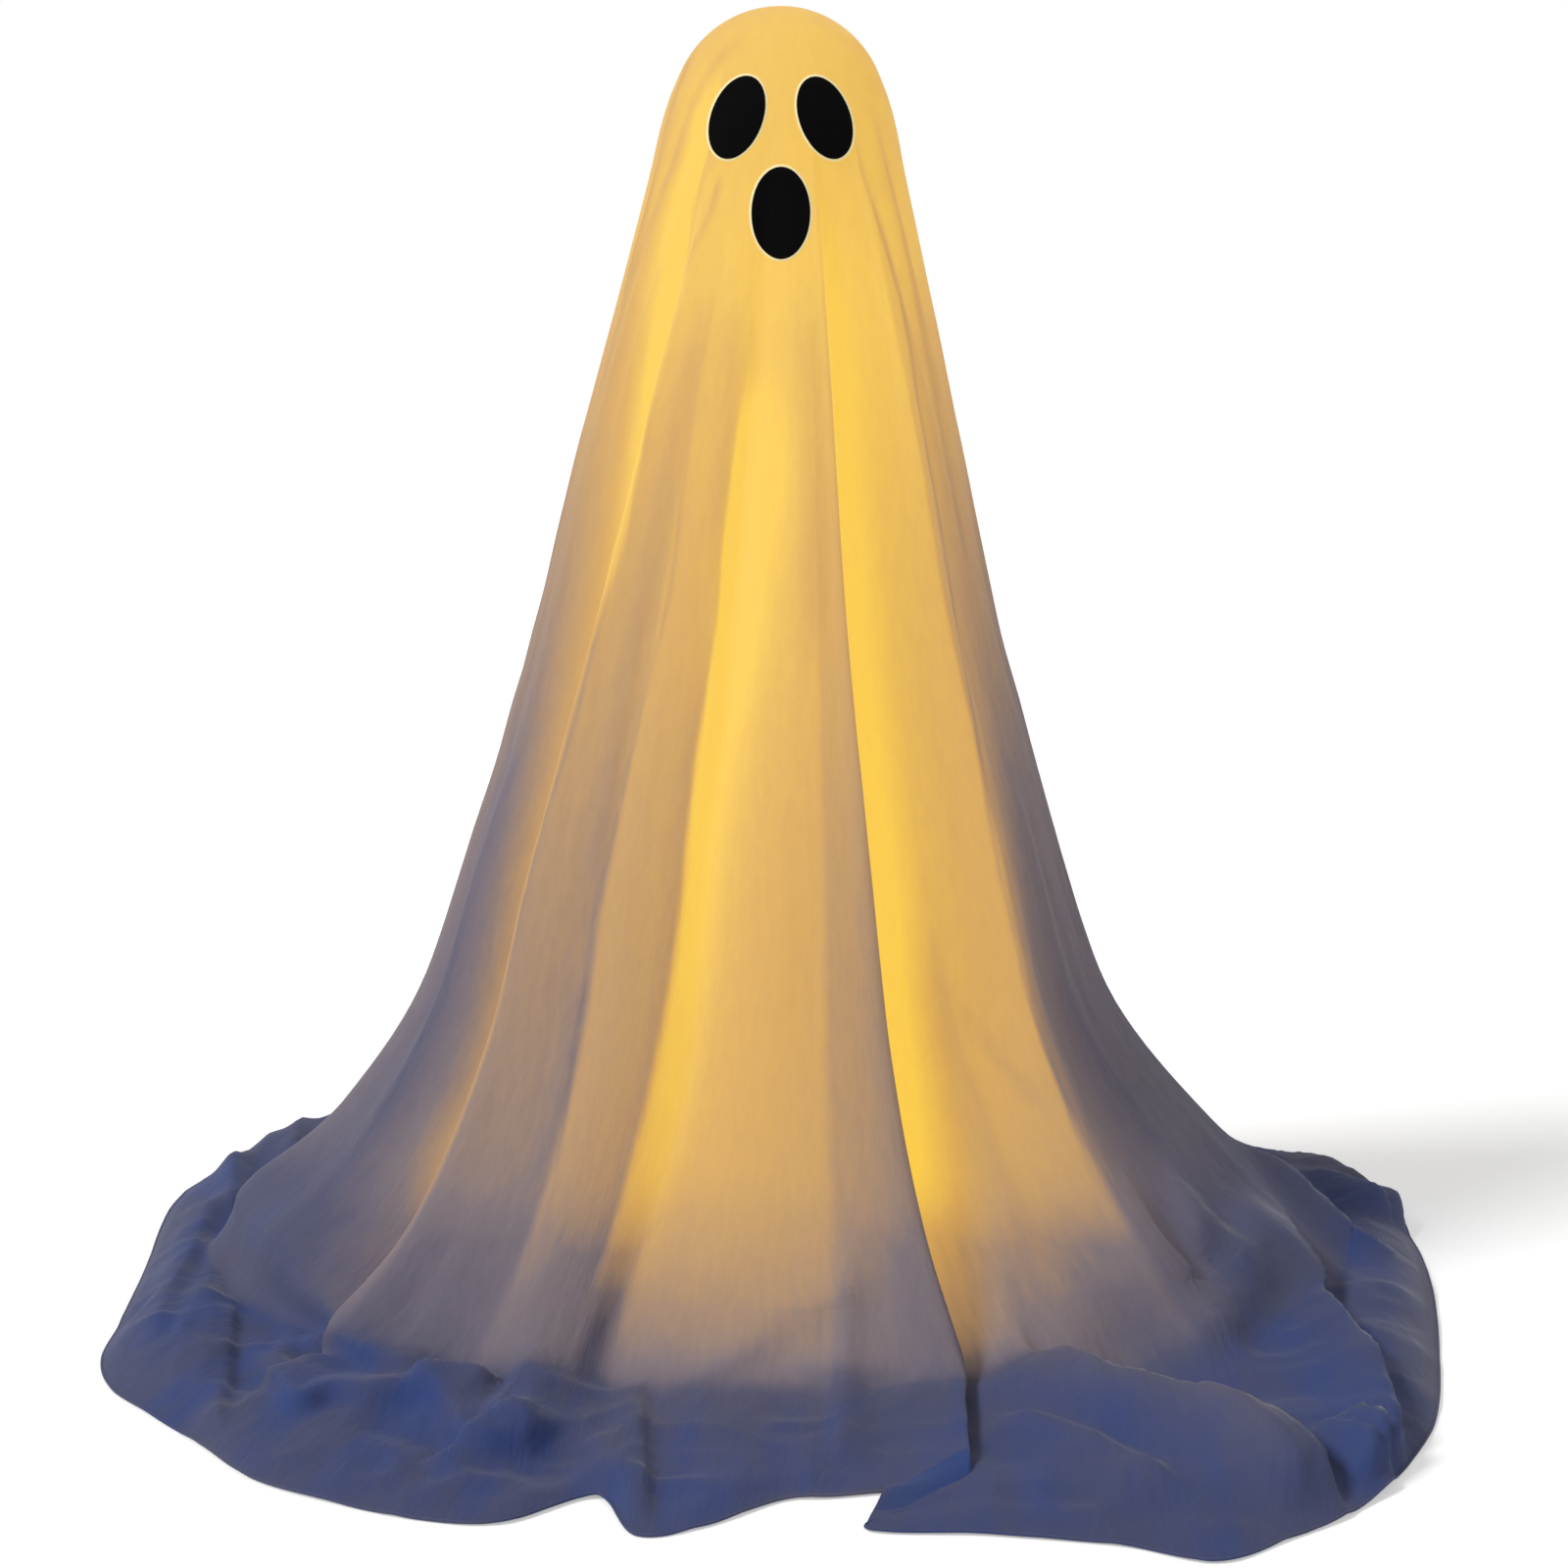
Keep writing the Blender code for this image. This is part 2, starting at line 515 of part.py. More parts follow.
def hanging_rings():
    """Rings of the hanging cloth: the side profile, drawn in at the front, with the folds added."""
    shares = np.linspace(NECK_SHARE, FOOT_SHARE, HANGING_STEPS)
    azimuths = column_azimuths(shares)
    side = side_radii(shares)
    frontness = np.maximum(np.cos(azimuths), 0.0) ** FLATTENING_POWER
    depth = down_the_cloth(FOLD_GROWTH_SHARES, shares) * FOLD_DEPTH
    radii = side * (1 - down_the_cloth(FRONT_FLATTENING_SHARES, shares) * frontness)
    radii = radii + depth * (round_the_cloth(COLUMN_RISE_SHARES) - RISE_BALANCE_SHARE)
    points = rings(azimuths, radii, shares * FIGURE_HEIGHT)
    drift = down_the_cloth(DRIFT_SHARES, shares) * SKIRT_HALF_WIDTH
    points[..., 0] += drift * np.sin(azimuths) ** DRIFT_POWER
    return points


def skirt_rings(foot, across):
    """Rings of the skirt from the foot to the hem: down in a soft curve, then over its heaps."""
    hem = [round_the_cloth(values) for values in zip(*COLUMN_HEM_SHARES)]
    hem = np.column_stack(hem) * (SKIRT_HALF_WIDTH, SKIRT_HALF_DEPTH)
    settle = np.exp(-SETTLE_RATE * across)
    run_out = (1 + round_the_cloth(COLUMN_RISE_SHARES)) * RUN_OUT_SHARE * (1 - across) ** RUN_OUT_POWER
    heaped = round_the_cloth(COLUMN_HEAP_SHARES) * np.sin(math.pi * across)
    points = np.empty((len(across), CLOTH_COLUMNS, 3))
    points[..., :2] = foot[:, :2] + (hem - foot[:, :2]) * across[..., None]
    points[..., 2] = CLOTH_THICKNESS + (foot[:, 2] - CLOTH_THICKNESS) * settle
    points[..., 2] += HEAP_HEIGHT * (run_out * (1 - settle) + heaped)
    return points


def up_the_fold(plan, route, gentle, steep):
    """How far up a fold each place of a plan lies, from 0 to 1: a bell across its route, which fades
    towards both ends and is wide on the route's left and narrow on its right."""
    corners = np.array(route) * (SKIRT_HALF_WIDTH, SKIRT_HALF_DEPTH)
    along = np.linspace(0, 1, FOLD_SAMPLES)
    places = np.linspace(0, 1, len(corners))
    line = np.column_stack([curve_through(places, values, along) for values in corners.T])
    away = plan[..., None, :] - line
    distance = np.linalg.norm(away, axis=-1)
    nearest = distance.argmin(-1)
    ahead = np.gradient(line, axis=0)[nearest]
    offset = np.take_along_axis(away, nearest[..., None, None], -2)[..., 0, :]
    on_right = offset[..., 0] * ahead[..., 1] > offset[..., 1] * ahead[..., 0]
    width = np.where(on_right, steep, gentle) * SKIRT_HALF_WIDTH
    fade = smooth_step(along / FOLD_TAPER_SHARE) * smooth_step((1 - along) / FOLD_TAPER_SHARE)
    return np.exp(-(distance.min(-1) / width) ** 2) * fade[nearest]


def draped_rings():
    """Rings of the cloth below the dome, with a soft foot and the folds on the floor raised."""
    hanging = hanging_rings()
    across = np.linspace(0, 1, SKIRT_STEPS + 1)[1:, None]
    points = np.concatenate((hanging, skirt_rings(hanging[-1], across)))
    from_foot = np.arange(len(points)) - HANGING_STEPS - SOFT_FOOT_START
    soften = np.exp(-(from_foot / SOFT_FOOT_STEPS) ** 2)[1:-1, None, None] / 2
    for _ in range(SOFT_FOOT_PASSES):
        points[1:-1] += soften * ((points[:-2] + points[2:]) / 2 - points[1:-1])
    top = FLOOR_BLEND_TOP * HEAP_HEIGHT
    on_floor = smooth_step((top - points[..., 2]) / (FLOOR_BLEND_DEPTH * HEAP_HEIGHT))
    past = (across - HEM_BLEND_START) / (1 - HEM_BLEND_START)
    on_floor[HANGING_STEPS:] *= 1 - (1 - HEM_FOLD_SHARE) * smooth_step(past)
    raised = np.zeros(points.shape[:2])
    for size, gentle, steep, route in FLOOR_FOLDS:
        raised += size * HEAP_HEIGHT * up_the_fold(points[..., :2], route, gentle, steep)
    points[..., 2] = (points[..., 2] + raised * on_floor).clip(CLOTH_THICKNESS)
    return points


def cloth_shroud():
    """The draped cloth, a loft of rings from the crown to the hem, with its thickness inwards."""
    draped = draped_rings()
    hanging = draped[HANGING_ROWS]
    skirt = draped[HANGING_STEPS:][SKIRT_ROWS]
    lofted = np.concatenate((head_rings(), hanging, skirt))
    crown = (0.0, 0.0, GLOBE_Z + HEAD_RADIUS)
    points = [crown] + [tuple(point) for point in lofted.reshape(-1, 3)]
    faces = []
    for i in range(CLOTH_COLUMNS):
        j = (i + 1) % CLOTH_COLUMNS
        faces.append((0, 1 + i, 1 + j))
        for row in range(len(lofted) - 1):
            upper = 1 + row * CLOTH_COLUMNS
            lower = upper + CLOTH_COLUMNS
            faces.append((upper + i, lower + i, lower + j, upper + j))
    data = bpy.data.meshes.new("cloth_shroud")
    data.from_pydata(points, [], faces)
    data.shade_smooth()
    piece = place("cloth_shroud", data, CLOTH)
    solidify = piece.modifiers.new("cloth_thickness", "SOLIDIFY")
    solidify.thickness = CLOTH_THICKNESS
    solidify.offset = -1
    return piece


def felt_oval(name, centre, half_size, tilt, lift, material, cloth):
    """An oval of felt that follows the cloth: rings of points projected on it, then thickened."""
    rim_points = 20
    ring_shares = (0.25, 0.5, 0.75, 1.0)
    points = [(0.0, 0.0, 0.0)]
    for share in ring_shares:
        for x, z in circle(1, sides=rim_points):
            points.append((x * share * half_size[0], 0.0, z * share * half_size[1]))
    faces = []
    for i in range(rim_points):
        j = (i + 1) % rim_points
        faces.append((0, 1 + i, 1 + j))
        for row in range(len(ring_shares) - 1):
            inner = 1 + row * rim_points
            outer = inner + rim_points
            faces.append((inner + i, outer + i, outer + j, inner + j))
    data = bpy.data.meshes.new(name)
    data.from_pydata(points, [], faces)
    data.transform(Matrix.Rotation(tilt, 4, "Y"))
    data.transform(Matrix.Translation((centre[0], -2 * GLOBE_RADIUS, centre[1])))
    piece = place(name, data, material)
    wrap = piece.modifiers.new("laid_on_cloth", "SHRINKWRAP")
    wrap.target = cloth
    wrap.wrap_method = "PROJECT"
    wrap.use_project_y = True
    wrap.offset = lift
    solidify = piece.modifiers.new("felt_thickness", "SOLIDIFY")
    solidify.thickness = FELT_THICKNESS
    solidify.offset = 1
    return piece


def face(cloth):
    """Two tilted oval eyes and a mouth, each of black felt on a slightly larger cream felt."""
    eye_z = FIGURE_HEIGHT - EYE_DROP
    mouth_z = FIGURE_HEIGHT - MOUTH_DROP
    features = [
        ("left_eye", (-EYE_HALF_SPACING, eye_z), (EYE_HALF_WIDTH, EYE_HALF_HEIGHT), EYE_TILT),
        ("right_eye", (EYE_HALF_SPACING, eye_z), (EYE_HALF_WIDTH, EYE_HALF_HEIGHT), -EYE_TILT),
        ("mouth", (0.0, mouth_z), (MOUTH_HALF_WIDTH, MOUTH_HALF_HEIGHT), 0.0),
    ]
    for name, centre, half_size, tilt in features:
        larger = (half_size[0] + FELT_RIM, half_size[1] + FELT_RIM)
        felt_oval(name + "_backing", centre, larger, tilt, FELT_GAP, CREAM_FELT, cloth)
        lift = 2 * FELT_GAP + FELT_THICKNESS
        felt_oval(name, centre, half_size, tilt, lift, BLACK_FELT, cloth)


def head_globe():
    """A blown plastic globe with an open neck below, turned from its outer and inner profiles."""
    outer_end = math.asin(GLOBE_NECK_RADIUS / GLOBE_RADIUS)
    inner_radius = GLOBE_RADIUS - GLOBE_WALL
    inner_neck = GLOBE_NECK_RADIUS - GLOBE_WALL
    inner_end = math.asin(inner_neck / inner_radius)
    arc_steps = 10

    def arc(radius, end):
        turns = [(math.pi - end) * i / arc_steps for i in range(arc_steps + 1)]
        points = [(radius * math.sin(a), GLOBE_Z + radius * math.cos(a)) for a in turns]
        return [(0.0, GLOBE_Z + radius)] + points[1:]

    outer = arc(GLOBE_RADIUS, outer_end) + [(GLOBE_NECK_RADIUS, NECK_END_Z)]
    inner = [(inner_neck, NECK_END_Z)] + arc(inner_radius, inner_end)[::-1]
    return turned("head_globe", outer + inner, OPAL_PLASTIC, steps=GLOBE_SIDES)


def globe_seat():
    """The collar, disc and plug that carry the globe, with a hole for the wire and one for its screw."""
    bore = POLE_RADIUS + FIT_GAP
    plug_top = SEAT_DISC_TOP_Z + SEAT_PLUG_HEIGHT
    disc_bottom = SEAT_DISC_TOP_Z - SEAT_DISC_THICKNESS
    profile = [(bore, plug_top), (SEAT_PLUG_RADIUS, plug_top), (SEAT_PLUG_RADIUS, SEAT_DISC_TOP_Z),
               (SEAT_DISC_RADIUS, SEAT_DISC_TOP_Z), (SEAT_DISC_RADIUS, disc_bottom),
               (SEAT_COLLAR_RADIUS, disc_bottom), (SEAT_COLLAR_RADIUS, SEAT_BOTTOM_Z),
               (bore, SEAT_BOTTOM_Z)]
    seat = turned("globe_seat", profile, GREY_PLASTIC, steps=GLOBE_SIDES, closed=True)
    depth = SEAT_PLUG_HEIGHT + SEAT_DISC_THICKNESS + 2 * CUT_OVERRUN
    middle = SEAT_DISC_TOP_Z + (SEAT_PLUG_HEIGHT - SEAT_DISC_THICKNESS) / 2
    combine(seat, round_cutter("wire_hole", WIRE_HOLE_RADIUS, depth, (0.0, WIRE_HOLE_OFFSET, middle)))
    screw_z = SEAT_BOTTOM_Z + SEAT_COLLAR_HEIGHT / 2
    reach = SEAT_COLLAR_WALL + 2 * CUT_OVERRUN
    hole_x = POLE_RADIUS + FIT_GAP + SEAT_COLLAR_WALL / 2
    hole = round_cutter("grub_hole", GRUB_RADIUS + FIT_GAP, reach, (hole_x, 0.0, screw_z), (1, 0, 0))
    combine(seat, hole)
    grub = [(0.0, SEAT_COLLAR_WALL), (GRUB_RADIUS, SEAT_COLLAR_WALL), (GRUB_RADIUS, 0.0), (0.0, 0.0)]
    screw = turned("seat_grub_screw", grub, STEEL, (POLE_RADIUS + FIT_GAP, 0.0, screw_z), COARSE_SIDES)
    screw.rotation_euler = (0.0, math.pi / 2, 0.0)


def pole():
    """Three plastic tubes, each but the top one with a thinner spigot that plugs into the next."""
    bore = POLE_RADIUS - POLE_WALL
    spigot = bore - FIT_GAP
    spigot_bore = spigot - POLE_WALL
    length = (POLE_TOP_Z - POLE_BASE_Z) / POLE_SECTIONS
    names = ["pole_lower", "pole_middle", "pole_upper"]
    for i, name in enumerate(names):
        bottom = POLE_BASE_Z + i * length
        top = bottom + length - FIT_GAP
        outer = [(POLE_RADIUS, top), (POLE_RADIUS, bottom)]
        if name == names[-1]:
            profile = outer + [(bore, bottom), (bore, top)]
        else:
            end = top + SPIGOT_LENGTH
            neck = top - SPIGOT_LENGTH
            profile = [(spigot, end), (spigot, top)] + outer
            profile += [(bore, bottom), (bore, neck), (spigot_bore, top), (spigot_bore, end)]
        turned(name, profile, WHITE_PLASTIC, closed=True)
    cap_plug = bore - FIT_GAP
    seat = POLE_TOP_Z
    cap = [(0.0, seat + CAP_THICKNESS), (POLE_RADIUS, seat + CAP_THICKNESS), (POLE_RADIUS, seat),
           (cap_plug, seat), (cap_plug, seat - CAP_PLUG_LENGTH), (0.0, seat - CAP_PLUG_LENGTH)]
    turned("pole_cap", cap, GREY_PLASTIC)


def base():
    """Two flat bars that cross on a bolt, rubber feet at their ends and a hub for the pole."""
    bolt_hole = circle(BOLT_RADIUS + FIT_GAP)
    screw_hole = HUB_SCREW_RADIUS + FIT_GAP
    screws = [(-HUB_SCREW_OFFSET, 0.0), (HUB_SCREW_OFFSET, 0.0)]
    upper = [slot_outline(BAR_LENGTH, BAR_WIDTH), bolt_hole]
    upper += [circle(screw_hole, at) for at in screws]
    flat_piece("base_bar_upper", upper, BAR_THICKNESS, BLACK_STEEL, (0.0, 0.0, UPPER_BAR_Z))
    lower = [slot_outline(BAR_LENGTH, BAR_WIDTH), bolt_hole]
    bar = flat_piece("base_bar_lower", lower, BAR_THICKNESS, BLACK_STEEL, (0.0, 0.0, LOWER_BAR_Z))
    bar.rotation_euler = (0.0, 0.0, math.pi / 2)
    washer = [circle(WASHER_RADIUS), bolt_hole]
    flat_piece("pivot_washer", washer, WASHER_THICKNESS, STEEL, (0.0, 0.0, WASHER_Z))

    reach = BAR_LENGTH / 2 - FOOT_INSET
    near = reach - FOOT_LENGTH
    half = FOOT_WIDTH / 2
    upper_top = UPPER_BAR_Z - FIT_GAP
    for name, side in (("foot_left", -1), ("foot_right", 1)):
        ends = sorted((side * near, side * reach))
        box(name, (ends[0], -half, 0.0), (ends[1], half, upper_top), RUBBER, FOOT_ROUNDING)
    for name, side in (("foot_front", -1), ("foot_rear", 1)):
        ends = sorted((side * near, side * reach))
        box(name, (-half, ends[0], 0.0), (half, ends[1], FOOT_HEIGHT), RUBBER, FOOT_ROUNDING)

    head_top = LOWER_BAR_Z - FIT_GAP
    nut_z = SOCKET_FLOOR_Z + FIT_GAP
    bolt_top = nut_z + NUT_HEIGHT + BOLT_END
    bolt = [(0.0, bolt_top), (BOLT_RADIUS, bolt_top), (BOLT_RADIUS, head_top),
            (BOLT_HEAD_RADIUS, head_top), (BOLT_HEAD_RADIUS, head_top - BOLT_HEAD_HEIGHT),
            (0.0, head_top - BOLT_HEAD_HEIGHT)]
    turned("pivot_bolt", bolt, STEEL, steps=COARSE_SIDES)
    corner = NUT_ACROSS_FLATS / math.sqrt(3)
    flat_piece("pivot_nut", [circle(corner, sides=6), bolt_hole], NUT_HEIGHT, STEEL, (0.0, 0.0, nut_z))

    socket = POLE_RADIUS + FIT_GAP
    outer = socket + HUB_SOCKET_WALL
    rim = SOCKET_FLOOR_Z + HUB_SOCKET_DEPTH
    hole = BOLT_RADIUS + FIT_GAP
    profile = [(socket, rim), (outer, rim), (outer, SOCKET_FLOOR_Z), (HUB_FLANGE_RADIUS, SOCKET_FLOOR_Z),
               (HUB_FLANGE_RADIUS, HUB_Z), (hole, HUB_Z), (hole, SOCKET_FLOOR_Z),
               (socket, SOCKET_FLOOR_Z)]
    hub = turned("pole_hub", profile, GREY_PLASTIC, steps=GLOBE_SIDES, closed=True)
    shank = HUB_FLANGE_THICKNESS + FIT_GAP + BAR_THICKNESS
    head_z = SOCKET_FLOOR_Z + FIT_GAP
    for name, (x, y) in zip(("hub_screw_left", "hub_screw_right"), screws):
        combine(hub, round_cutter(name + "_hole", screw_hole, 2 * CUT_OVERRUN + HUB_FLANGE_THICKNESS,
                                  (x, y, HUB_Z + HUB_FLANGE_THICKNESS / 2)))
        screw = [(0.0, HUB_SCREW_HEAD_HEIGHT), (HUB_SCREW_HEAD_RADIUS, HUB_SCREW_HEAD_HEIGHT),
                 (HUB_SCREW_HEAD_RADIUS, 0.0), (HUB_SCREW_RADIUS, 0.0),
                 (HUB_SCREW_RADIUS, -shank), (0.0, -shank)]
        turned(name, screw, STEEL, (x, y, head_z), COARSE_SIDES)


def winding_radius(thickness):
    """How far from the axis a wire's middle lies so that its straight runs clear the pole."""
    return (POLE_RADIUS + FIT_GAP + thickness) / math.cos(math.pi / POINTS_PER_TURN)


def winding(start_z, end_z, start_turn, lamp_turns, turn_length):
    """Points and thicknesses of a stretch wound round the pole, swelling at each lamp."""
    turns = (end_z - start_z) / STRING_PITCH
    half = LAMP_LENGTH / 2 / turn_length
    taper = LAMP_TAPER / turn_length
    stations = [(i / POINTS_PER_TURN, WIRE_RADIUS) for i in range(int(turns * POINTS_PER_TURN) + 1)]
    for lamp in lamp_turns:
        stations = [s for s in stations if abs(s[0] - lamp) > half + 2 * taper]
        stations += [(lamp - half - taper, WIRE_RADIUS), (lamp - half, LAMP_RADIUS),
                     (lamp + half, LAMP_RADIUS), (lamp + half + taper, WIRE_RADIUS)]
    points = []
    for turn, thickness in sorted(stations):
        angle = 2 * math.pi * (start_turn + turn)
        radius = winding_radius(thickness)
        height = start_z + turn * STRING_PITCH
        points.append(((radius * math.sin(angle), radius * math.cos(angle), height), thickness))
    return points


def light_string():
    """One wire from the battery case, wound up the pole, through the seat and on into the globe."""
    radius = winding_radius(WIRE_RADIUS)
    turn_length = math.hypot(2 * math.pi * radius, STRING_PITCH)
    case_z = CASE_TOP_Z - CASE_WALL - STRING_LEAD / 4
    start_z = CASE_TOP_Z + 2 * STRING_LEAD
    leave_z = SEAT_BOTTOM_Z - STRING_LEAD
    lower_turns = round((leave_z - start_z) / STRING_PITCH)
    end_z = start_z + lower_turns * STRING_PITCH
    inside_z = SEAT_DISC_TOP_Z + SEAT_PLUG_HEIGHT + STRING_LEAD / 2
    upper_end_z = POLE_TOP_Z - STRING_END_CLEARANCE
    upper_turns = (upper_end_z - inside_z) / STRING_PITCH
    lower_lamps = LAMP_COUNT - round(LAMP_COUNT * upper_turns / (lower_turns + upper_turns))
    upper_lamps = LAMP_COUNT - lower_lamps

    lead_angle = math.atan2(LEAD_X, LEAD_Y)
    lead_radius = math.hypot(LEAD_X, LEAD_Y)
    steps = 8
    route = [((LEAD_X, LEAD_Y, case_z), WIRE_RADIUS),
             ((LEAD_X, LEAD_Y, CASE_TOP_Z + STRING_LEAD / 4), WIRE_RADIUS)]
    for i in range(1, steps):
        share = i / steps
        ease = share * share * (3 - 2 * share)
        angle = lead_angle + (2 * math.pi - lead_angle) * share
        away = lead_radius + (radius - lead_radius) * ease
        height = CASE_TOP_Z + STRING_LEAD / 4 + (start_z - CASE_TOP_Z - STRING_LEAD / 4) * share
        route.append(((away * math.sin(angle), away * math.cos(angle), height), WIRE_RADIUS))
    lamps = [(i + 0.5) * lower_turns / lower_lamps for i in range(lower_lamps)]
    route += winding(start_z, end_z, 0.0, lamps, turn_length)
    for height in (SEAT_BOTTOM_Z - WIRE_HOLE_RADIUS, inside_z - STRING_LEAD / 4):
        route.append(((0.0, WIRE_HOLE_OFFSET, height), WIRE_RADIUS))
    lamps = [(i + 0.5) * upper_turns / upper_lamps for i in range(upper_lamps)]
    route += winding(inside_z, upper_end_z, 0.0, lamps, turn_length)
    points = [point for point, thickness in route]
    swell = [thickness / WIRE_RADIUS for point, thickness in route]
    wire("light_string", points, WIRE_RADIUS, CLEAR_WIRE, swell)


def cell_places():
    """The middle of each battery, from the left wall of the case towards the switch."""
    pitch = 2 * CELL_RADIUS + CELL_SPACING
    first = -CASE_RIGHT_X + FIT_GAP + CELL_RADIUS
    return [first + i * pitch for i in range(CELL_COUNT)]


def case_saddle():
    """A clip that snaps round the pole, with a thick pad that the case is screwed to."""
    inner = POLE_RADIUS + FIT_GAP
    outer = inner + SADDLE_WALL
    half = SADDLE_PAD_WIDTH / 2
    pad_y = inner + SADDLE_PAD_DEPTH
    root = math.acos(min(half, outer * math.cos(SADDLE_ARM_ROOT)) / outer)
    arm_end = -math.pi / 2 + SADDLE_MOUTH / 2
    arm_points = 7
    arc = [arm_end + (root - arm_end) * i / (arm_points - 1) for i in range(arm_points)]
    right_arm = [(outer * math.cos(a), outer * math.sin(a)) for a in arc]
    pad = [(half, right_arm[-1][1]), (half, pad_y), (-half, pad_y), (-half, right_arm[-1][1])]
    left_arm = [(-x, y) for x, y in reversed(right_arm)]
    inner_points = 16
    sweep = 2 * math.pi - SADDLE_MOUTH
    bore = [math.pi - arm_end - sweep * i / (inner_points - 1) for i in range(inner_points)]
    bore_clearance = 1 / math.cos(sweep / (inner_points - 1) / 2)
    inside = [(inner * bore_clearance * math.cos(a), inner * bore_clearance * math.sin(a)) for a in bore]
    outline = right_arm + pad + left_arm + inside
    middle = (CASE_FLOOR_HEIGHT + CASE_TOP_Z) / 2
    saddle = flat_piece("case_saddle", [outline], SADDLE_HEIGHT, GREY_PLASTIC,
                        (0.0, 0.0, middle - SADDLE_HEIGHT / 2))
    return saddle, middle


def as_mesh(curve_piece):
    """Turn a curve piece into a mesh piece of the same name, with its caps welded."""
    graph = bpy.context.evaluated_depsgraph_get()
    data = bpy.data.meshes.new_from_object(curve_piece.evaluated_get(graph))
    form = bmesh.new()
    form.from_mesh(data)
    bmesh.ops.remove_doubles(form, verts=form.verts, dist=MERGE_DISTANCE)
    form.to_mesh(data)
    form.free()
    name = curve_piece.name
    matrix = curve_piece.matrix_world.copy()
    bpy.data.objects.remove(curve_piece, do_unlink=True)
    piece = bpy.data.objects.new(name, data)
    piece.matrix_world = matrix
    GHOST.objects.link(piece)
    return piece


def battery_case():
    """A tray for three cells and a switch, open to the rear, with grooves for its sliding cover."""
    half = CASE_RIGHT_X + CASE_WALL
    low = (-half, CASE_BACK_Y, CASE_FLOOR_HEIGHT)
    high = (half, CASE_FRONT_Y, CASE_TOP_Z)
    case = box("battery_case", low, high, CASE_PLASTIC, CASE_ROUNDING)
    inner_top = CASE_TOP_Z - CASE_WALL
    right = CASE_RIGHT_X
    groove = right + GROOVE_DEPTH
    floor = CASE_INNER_FLOOR_Z
    beyond_y = CASE_FRONT_Y + CUT_OVERRUN
    beyond_z = CASE_TOP_Z + CUT_OVERRUN
    groove_front = GROOVE_Y + GROOVE_WIDTH
    cuts = [
        ("case_pocket", (-right, CASE_INNER_BACK_Y, floor), (right, GROOVE_Y + FIT_GAP, inner_top)),
        ("case_groove", (-groove, GROOVE_Y, floor), (groove, groove_front, beyond_z)),
        ("case_window", (-right, GROOVE_Y + FIT_GAP, floor), (right, beyond_y, beyond_z)),
    ]
    knob_half = KNOB_WIDTH / 2 + FIT_GAP
    run_half = (KNOB_HEIGHT + SWITCH_TRAVEL) / 2 + FIT_GAP
    switch_y = CASE_INNER_BACK_Y + FIT_GAP + SWITCH_DEPTH / 2
    cuts.append(("switch_slot", (right - CUT_OVERRUN / 4, switch_y - knob_half, SWITCH_Z - run_half),
                 (right + CASE_WALL + CUT_OVERRUN, switch_y + knob_half, SWITCH_Z + run_half)))
    for name, corner, other in cuts:
        combine(case, box(name, corner, other, TOOL, collection=CUTTERS))
    lead = round_cutter("lead_hole", WIRE_RADIUS + FIT_GAP, CASE_WALL + 2 * CUT_OVERRUN,
                        (LEAD_X, LEAD_Y, CASE_TOP_Z - CASE_WALL / 2))
    combine(case, lead)

    saddle, middle = case_saddle()
    saddle = as_mesh(saddle)
    head_depth = CASE_SCREW_HEAD_RADIUS - CASE_SCREW_RADIUS
    tip_y = CASE_INNER_BACK_Y - CASE_SCREW_LENGTH
    screw_hole = CASE_SCREW_RADIUS + FIT_GAP
    length = CASE_SCREW_LENGTH + FIT_GAP + CUT_OVERRUN
    hole_y = tip_y - FIT_GAP + length / 2
    for piece in (case, saddle):
        bore = round_cutter(piece.name + "_bore", screw_hole, length, (0.0, hole_y, middle), (0, 1, 0))
        combine(piece, bore)
    sink = [(0.0, FIT_GAP), (CASE_SCREW_HEAD_RADIUS + 2 * FIT_GAP, FIT_GAP),
            (CASE_SCREW_RADIUS + FIT_GAP, -head_depth), (0.0, -head_depth)]
    sink_tool = turned("screw_sink", sink, TOOL, (0.0, CASE_INNER_BACK_Y, middle), COARSE_SIDES)
    sink_tool.rotation_euler = (-math.pi / 2, 0.0, 0.0)
    GHOST.objects.unlink(sink_tool)
    CUTTERS.objects.link(sink_tool)
    combine(case, sink_tool)
    screw = [(0.0, 0.0), (CASE_SCREW_HEAD_RADIUS, 0.0), (CASE_SCREW_RADIUS, -head_depth),
             (CASE_SCREW_RADIUS, -CASE_SCREW_LENGTH), (0.0, -CASE_SCREW_LENGTH)]
    piece = turned("case_screw", screw, STEEL, (0.0, CASE_INNER_BACK_Y, middle), COARSE_SIDES)
    piece.rotation_euler = (-math.pi / 2, 0.0, 0.0)


def battery_cover():
    """The sliding rear cover, with ribs for the thumb; it slides up out of the case."""
    half = CASE_RIGHT_X + GROOVE_DEPTH - FIT_GAP
    low = (-half, GROOVE_Y + FIT_GAP, CASE_INNER_FLOOR_Z + FIT_GAP)
    high = (half, GROOVE_Y + FIT_GAP + COVER_THICKNESS, CASE_TOP_Z)
    cover = box("battery_cover", low, high, CASE_PLASTIC)
    grip_length = 2 * CASE_RIGHT_X * COVER_GRIP_WIDTH_SHARE
    for i in range(COVER_GRIP_COUNT):
        z = CASE_TOP_Z - (i + 2) * COVER_GRIP_PITCH
        rib = round_cutter(f"cover_grip_{i + 1}", COVER_GRIP_RADIUS, grip_length, (0.0, high[1], z),
                           (1, 0, 0))
        combine(cover, rib, "UNION")


